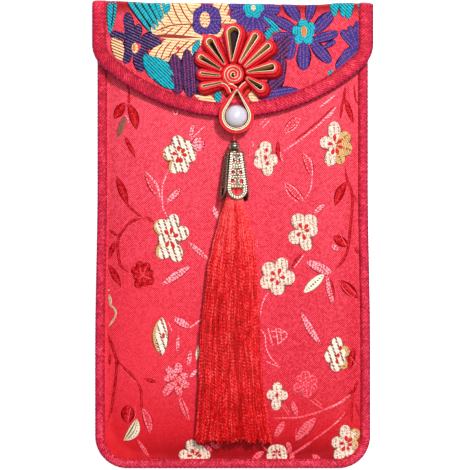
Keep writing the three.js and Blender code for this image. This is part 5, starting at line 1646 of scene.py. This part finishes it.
def makeCord():  # two plies laid round each other
    along = np.linspace(0, tassel["cordLength"], tassel["cordSteps"])
    sides = tassel["cordSides"]
    parts, ring, length = [], [], []
    ply = tassel["cord"] * tassel["plyShare"]
    apart = tassel["cord"] * tassel["apartShare"]
    for start in (0, math.pi):
        angle = start + along * turn / tassel["cordLay"]
        path = np.stack([apart * np.cos(angle), -along, apart * np.sin(angle)], -1)
        parts.append(tubeSkin(onLine(path), ply, sides))
        around = np.tile(np.linspace(0, turn, sides, endpoint=False), len(along))
        ring.append(np.stack([np.cos(around), np.sin(around), np.zeros(len(around))], -1))
        length.append(np.repeat(along * mm, sides))
    count = 2 * sides * len(along)
    fields = {"along": np.concatenate(length), "phase": np.zeros(count), "tint": np.full(count, 0.5)}
    piece = makePiece("tassel_cord_plies", joined(parts), [tasselSilk], fields)
    data = piece.data.attributes.new("ring", "FLOAT_VECTOR", "POINT").data
    data.foreach_set("vector", np.concatenate(ring).astype(np.float32).ravel())
    settle(piece, "silk", "tassel_cord")


makeCord()

# Geometry Nodes: strands of the skirt and stitches along the ribbons


def nodeTree(name, inputs):
    tree = bpy.data.node_groups.new(name, "GeometryNodeTree")
    tree.interface.new_socket("Geometry", in_out="INPUT", socket_type="NodeSocketGeometry")
    for label, kind in inputs.items():
        tree.interface.new_socket(label, in_out="INPUT", socket_type="NodeSocket" + kind)
    tree.interface.new_socket("Geometry", in_out="OUTPUT", socket_type="NodeSocketGeometry")
    return tree, tree.nodes.new("NodeGroupInput"), tree.nodes.new("NodeGroupOutput")


def addNode(tree, kind, settings, sockets):
    made = tree.nodes.new(kind)
    for name, value in settings.items():
        setattr(made, name, value)
    for name, value in sockets.items():
        if isinstance(value, bpy.types.NodeSocket):
            tree.links.new(value, made.inputs[name])
        else:
            made.inputs[name].default_value = value
    return made.outputs


def finishTree(tree, geometry, material, result):
    whole = addNode(tree, "GeometryNodeRealizeInstances", {}, {"Geometry": geometry})
    painted = addNode(tree, "GeometryNodeSetMaterial", {}, {"Geometry": whole[0], "Material": material})
    tree.links.new(painted[0], result.inputs["Geometry"])


def strandTree():
    tree, given, result = nodeTree("silkStrands", {"Radius": "Float", "Sides": "Int", "Silk": "Material"})
    curve = addNode(tree, "GeometryNodeMeshToCurve", {}, {"Mesh": given.outputs["Geometry"]})
    reach = addNode(tree, "GeometryNodeSplineParameter", {}, {})
    marked = addNode(tree, "GeometryNodeStoreNamedAttribute", {"data_type": "FLOAT", "domain": "POINT"},
                     {"Geometry": curve[0], "Name": "along", "Value": reach["Length"]})
    swell = addNode(tree, "GeometryNodeInputNamedAttribute", {"data_type": "FLOAT"}, {"Name": "swell"})
    sized = addNode(tree, "GeometryNodeSetCurveRadius", {}, {"Curve": marked[0], "Radius": swell[0]})
    circle = addNode(tree, "GeometryNodeCurvePrimitiveCircle", {},
                     {"Resolution": given.outputs["Sides"], "Radius": given.outputs["Radius"]})
    position = addNode(tree, "GeometryNodeInputPosition", {}, {})
    profile = addNode(tree, "GeometryNodeStoreNamedAttribute",
                      {"data_type": "FLOAT_VECTOR", "domain": "POINT"},
                      {"Geometry": circle[0], "Name": "ring", "Value": position[0]})
    tube = addNode(tree, "GeometryNodeCurveToMesh", {},
                   {"Curve": sized[0], "Profile Curve": profile[0], "Fill Caps": True})
    scale = tree.nodes[-1].inputs.get("Scale")
    if scale is not None:
        tree.links.new(swell[0], scale)
    finishTree(tree, tube[0], given.outputs["Silk"], result)
    return tree


def stitchTree():
    tree, given, result = nodeTree("stitchRow", {"Spacing": "Float", "Radius": "Float", "Stretch": "Float",
                                                 "Thread": "Material"})
    curve = addNode(tree, "GeometryNodeMeshToCurve", {}, {"Mesh": given.outputs["Geometry"]})
    spots = addNode(tree, "GeometryNodeCurveToPoints", {"mode": "LENGTH"},
                    {"Curve": curve[0], "Length": given.outputs["Spacing"]})
    aim = addNode(tree, "FunctionNodeAlignRotationToVector", {"axis": "Z"}, {"Vector": spots["Tangent"]})
    seed = addNode(tree, "GeometryNodeMeshUVSphere", {},
                   {"Segments": 8, "Rings": 6, "Radius": given.outputs["Radius"]})
    size = addNode(tree, "ShaderNodeCombineXYZ", {}, {"X": 1.0, "Y": 1.0, "Z": given.outputs["Stretch"]})
    long = addNode(tree, "GeometryNodeTransform", {}, {"Geometry": seed[0], "Scale": size[0]})
    row = addNode(tree, "GeometryNodeInstanceOnPoints", {},
                  {"Points": spots[0], "Instance": long[0], "Rotation": aim[0]})
    finishTree(tree, row[0], given.outputs["Thread"], result)
    return tree


# lines of points in mm, grown by a tree into a plain mesh
def grown(name, lines, tree, values, fields=None):
    points = np.concatenate(lines) * mm
    edges, start = [], 0
    for line in lines:
        edges += [(start + k, start + k + 1) for k in range(len(line) - 1)]
        start += len(line)
    mesh = bpy.data.meshes.new(name + "Lines")
    mesh.from_pydata(points.tolist(), edges, [])
    for field, data in (fields or {}).items():
        mesh.attributes.new(field, "FLOAT", "POINT").data.foreach_set("value", np.asarray(data, np.float32))
    holder = bpy.data.objects.new(name + "Lines", mesh)
    bpy.context.collection.objects.link(holder)
    modifier = holder.modifiers.new("grow", "NODES")
    modifier.node_group = tree
    for item in tree.interface.items_tree:
        if item.in_out == "INPUT" and item.name in values:
            modifier[item.identifier] = values[item.name]
    bpy.context.view_layer.update()
    result = bpy.data.meshes.new_from_object(holder.evaluated_get(bpy.context.evaluated_depsgraph_get()))
    holder.modifiers.remove(modifier)
    bpy.data.objects.remove(holder)
    result.name = name
    result.polygons.foreach_set("use_smooth", np.ones(len(result.polygons), bool))
    piece = bpy.data.objects.new(name, result)
    bpy.context.collection.objects.link(piece)
    return piece


skirt = {"strands": 400, "points": 33, "radius": 0.4, "sides": 7, "restGap": 0.35, "wave": 0.4,
         "endScatter": 0.9, "topShare": 0.62}
skirtTable = [
    # y, centre x, half width, half thickness, lift
    (28, 0.8, 2.1, 1.75, 2.7), (17, 0.8, 3.3, 2.7, 2.8), (13, 0.6, 3.4, 3.4, 2.6), (5, 0.5, 5.9, 3.6, 0.9),
    (-4, 0.2, 8, 3.5, 0), (-14, -0.2, 9.6, 3.3, 0), (-42, -0.9, 11.5, 3, 0), (-54, -0.7, 12.3, 2.8, 0.1),
    (-64, -0.4, 13, 2.6, 0.1), (-72, 0, 13.8, 2.4, 0.1), (-80, 0.2, 14.7, 2.2, 0.1),
]


def makeSkirt():
    rows = np.array(skirtTable, float)
    lines, swells, phases, tints = [], [], [], []
    for _ in range(skirt["strands"]):
        onTop = rng.random() < skirt["topShare"]
        around = rng.uniform(-0.25, math.pi + 0.25) if onTop else rng.uniform(0, turn)
        depth = rng.uniform(0.86, 1.0) if onTop else math.sqrt(rng.uniform(0.05, 0.85))
        endY = rows[-1, 0] + 1.2 + skirt["endScatter"] * rng.normal() * 0.75
        y = between(rows[0, 0], endY, np.linspace(0, 1, skirt["points"]) ** 0.96)
        centreX, halfWidth, halfThick, lift = (easedTable(rows[:, 0], rows[:, c], y) for c in (1, 2, 3, 4))
        side = math.cos(around) * depth
        drift = skirt["wave"] * ease(10 - y, 0, 30)
        phase = rng.uniform(0, turn, 3)
        sway = drift * (np.sin(y / 7.5 + phase[0]) + 0.6 * np.sin(y / 3.4 + phase[1]))
        flare = ease(-66 - y, 0, 15) * rng.normal() * 0.8
        x = centreX + halfWidth * side * 0.97 + sway + flare
        ground = frontTop(x, y)
        z = frontTop(centreX, y) + skirt["restGap"] + halfThick + lift
        z = z + (halfThick - skirt["radius"]) * math.sin(around) * depth
        z = z + 0.25 * drift * np.sin(y / 5.1 + phase[2])
        z = np.maximum(z, ground + skirt["restGap"] + skirt["radius"] * 0.6)
        lines.append(np.stack([x, y, z], -1))
        swells.append(between(0.62, 1.0, ease(12 - y, 0, 26)) * rng.uniform(0.85, 1.12))
        phases.append(np.full(len(y), phase[0]))
        tints.append(np.full(len(y), rng.random()))
    values = {"Radius": skirt["radius"] * mm, "Sides": skirt["sides"], "Silk": tasselSilk}
    fields = {"swell": swells, "phase": phases, "tint": tints}
    fields = {name: np.concatenate(parts) for name, parts in fields.items()}
    piece = grown("tassel_strands", lines, strandTree(), values, fields)
    settle(piece, "silk", "tassel_skirt")


makeSkirt()

stitch = {"spacing": 1.93, "radius": 0.19, "stretch": 2.9, "inset": 0.6, "step": 1.2, "fromMouth": 1.0,
          "pastFold": 2.0, "edgeLift": 0.07, "flapLift": 0.05,
          "dark": dye(104, 0, 26), "pale": dye(168, 12, 46)}


def stitchFinish():
    material, inputs, place = newFinish("stitchThread", {"Specular IOR Level": 0.4})
    yarn = place.noise(2200.0, 2.0)
    feed(inputs, colour=yarn.mix(stitch["dark"], stitch["pale"]), rough=yarn * 0.2 + 0.4,
         normal=yarn.bump(0.3, 0.0001))
    return material


def seam(path, width):  # the line of stitches, just short of a ribbon's inner edge
    return path[:, :2] + (width - stitch["inset"]) * path[:, 2:]


def makeStitches():
    tree = stitchTree()
    values = {"Spacing": stitch["spacing"] * mm, "Radius": stitch["radius"] * mm,
              "Stretch": stitch["stretch"], "Thread": stitchFinish()}
    path = bodyPath(back["topY"] - stitch["fromMouth"], stitch["step"])
    x, y = seam(path, ribbon["bodyWidth"]).T
    edge = onPlane(x, y, bindingTopZ + stitch["edgeLift"])
    path = flapPath(stitch["step"])
    path = path[path[:, 1] < foldY + stitch["pastFold"]]
    x, y = seam(path, ribbon["flapWidth"]).T
    over = flapPoint(x, y, flapRibbonHigh + stitch["flapLift"])
    settle(grown("edge_stitches", [edge], tree, values), "ribbon")
    settle(grown("flap_stitches", [over], tree, values), "ribbon")


makeStitches()

# Cloth facts
bodyCut = 2 * (pouch["lowerHalf"] - sheetInset) * mm
frontCut = (bodyCut, (front["mouthY"] + pouch["halfHeight"] - sheetInset) * mm)

print("pieces are dressed")
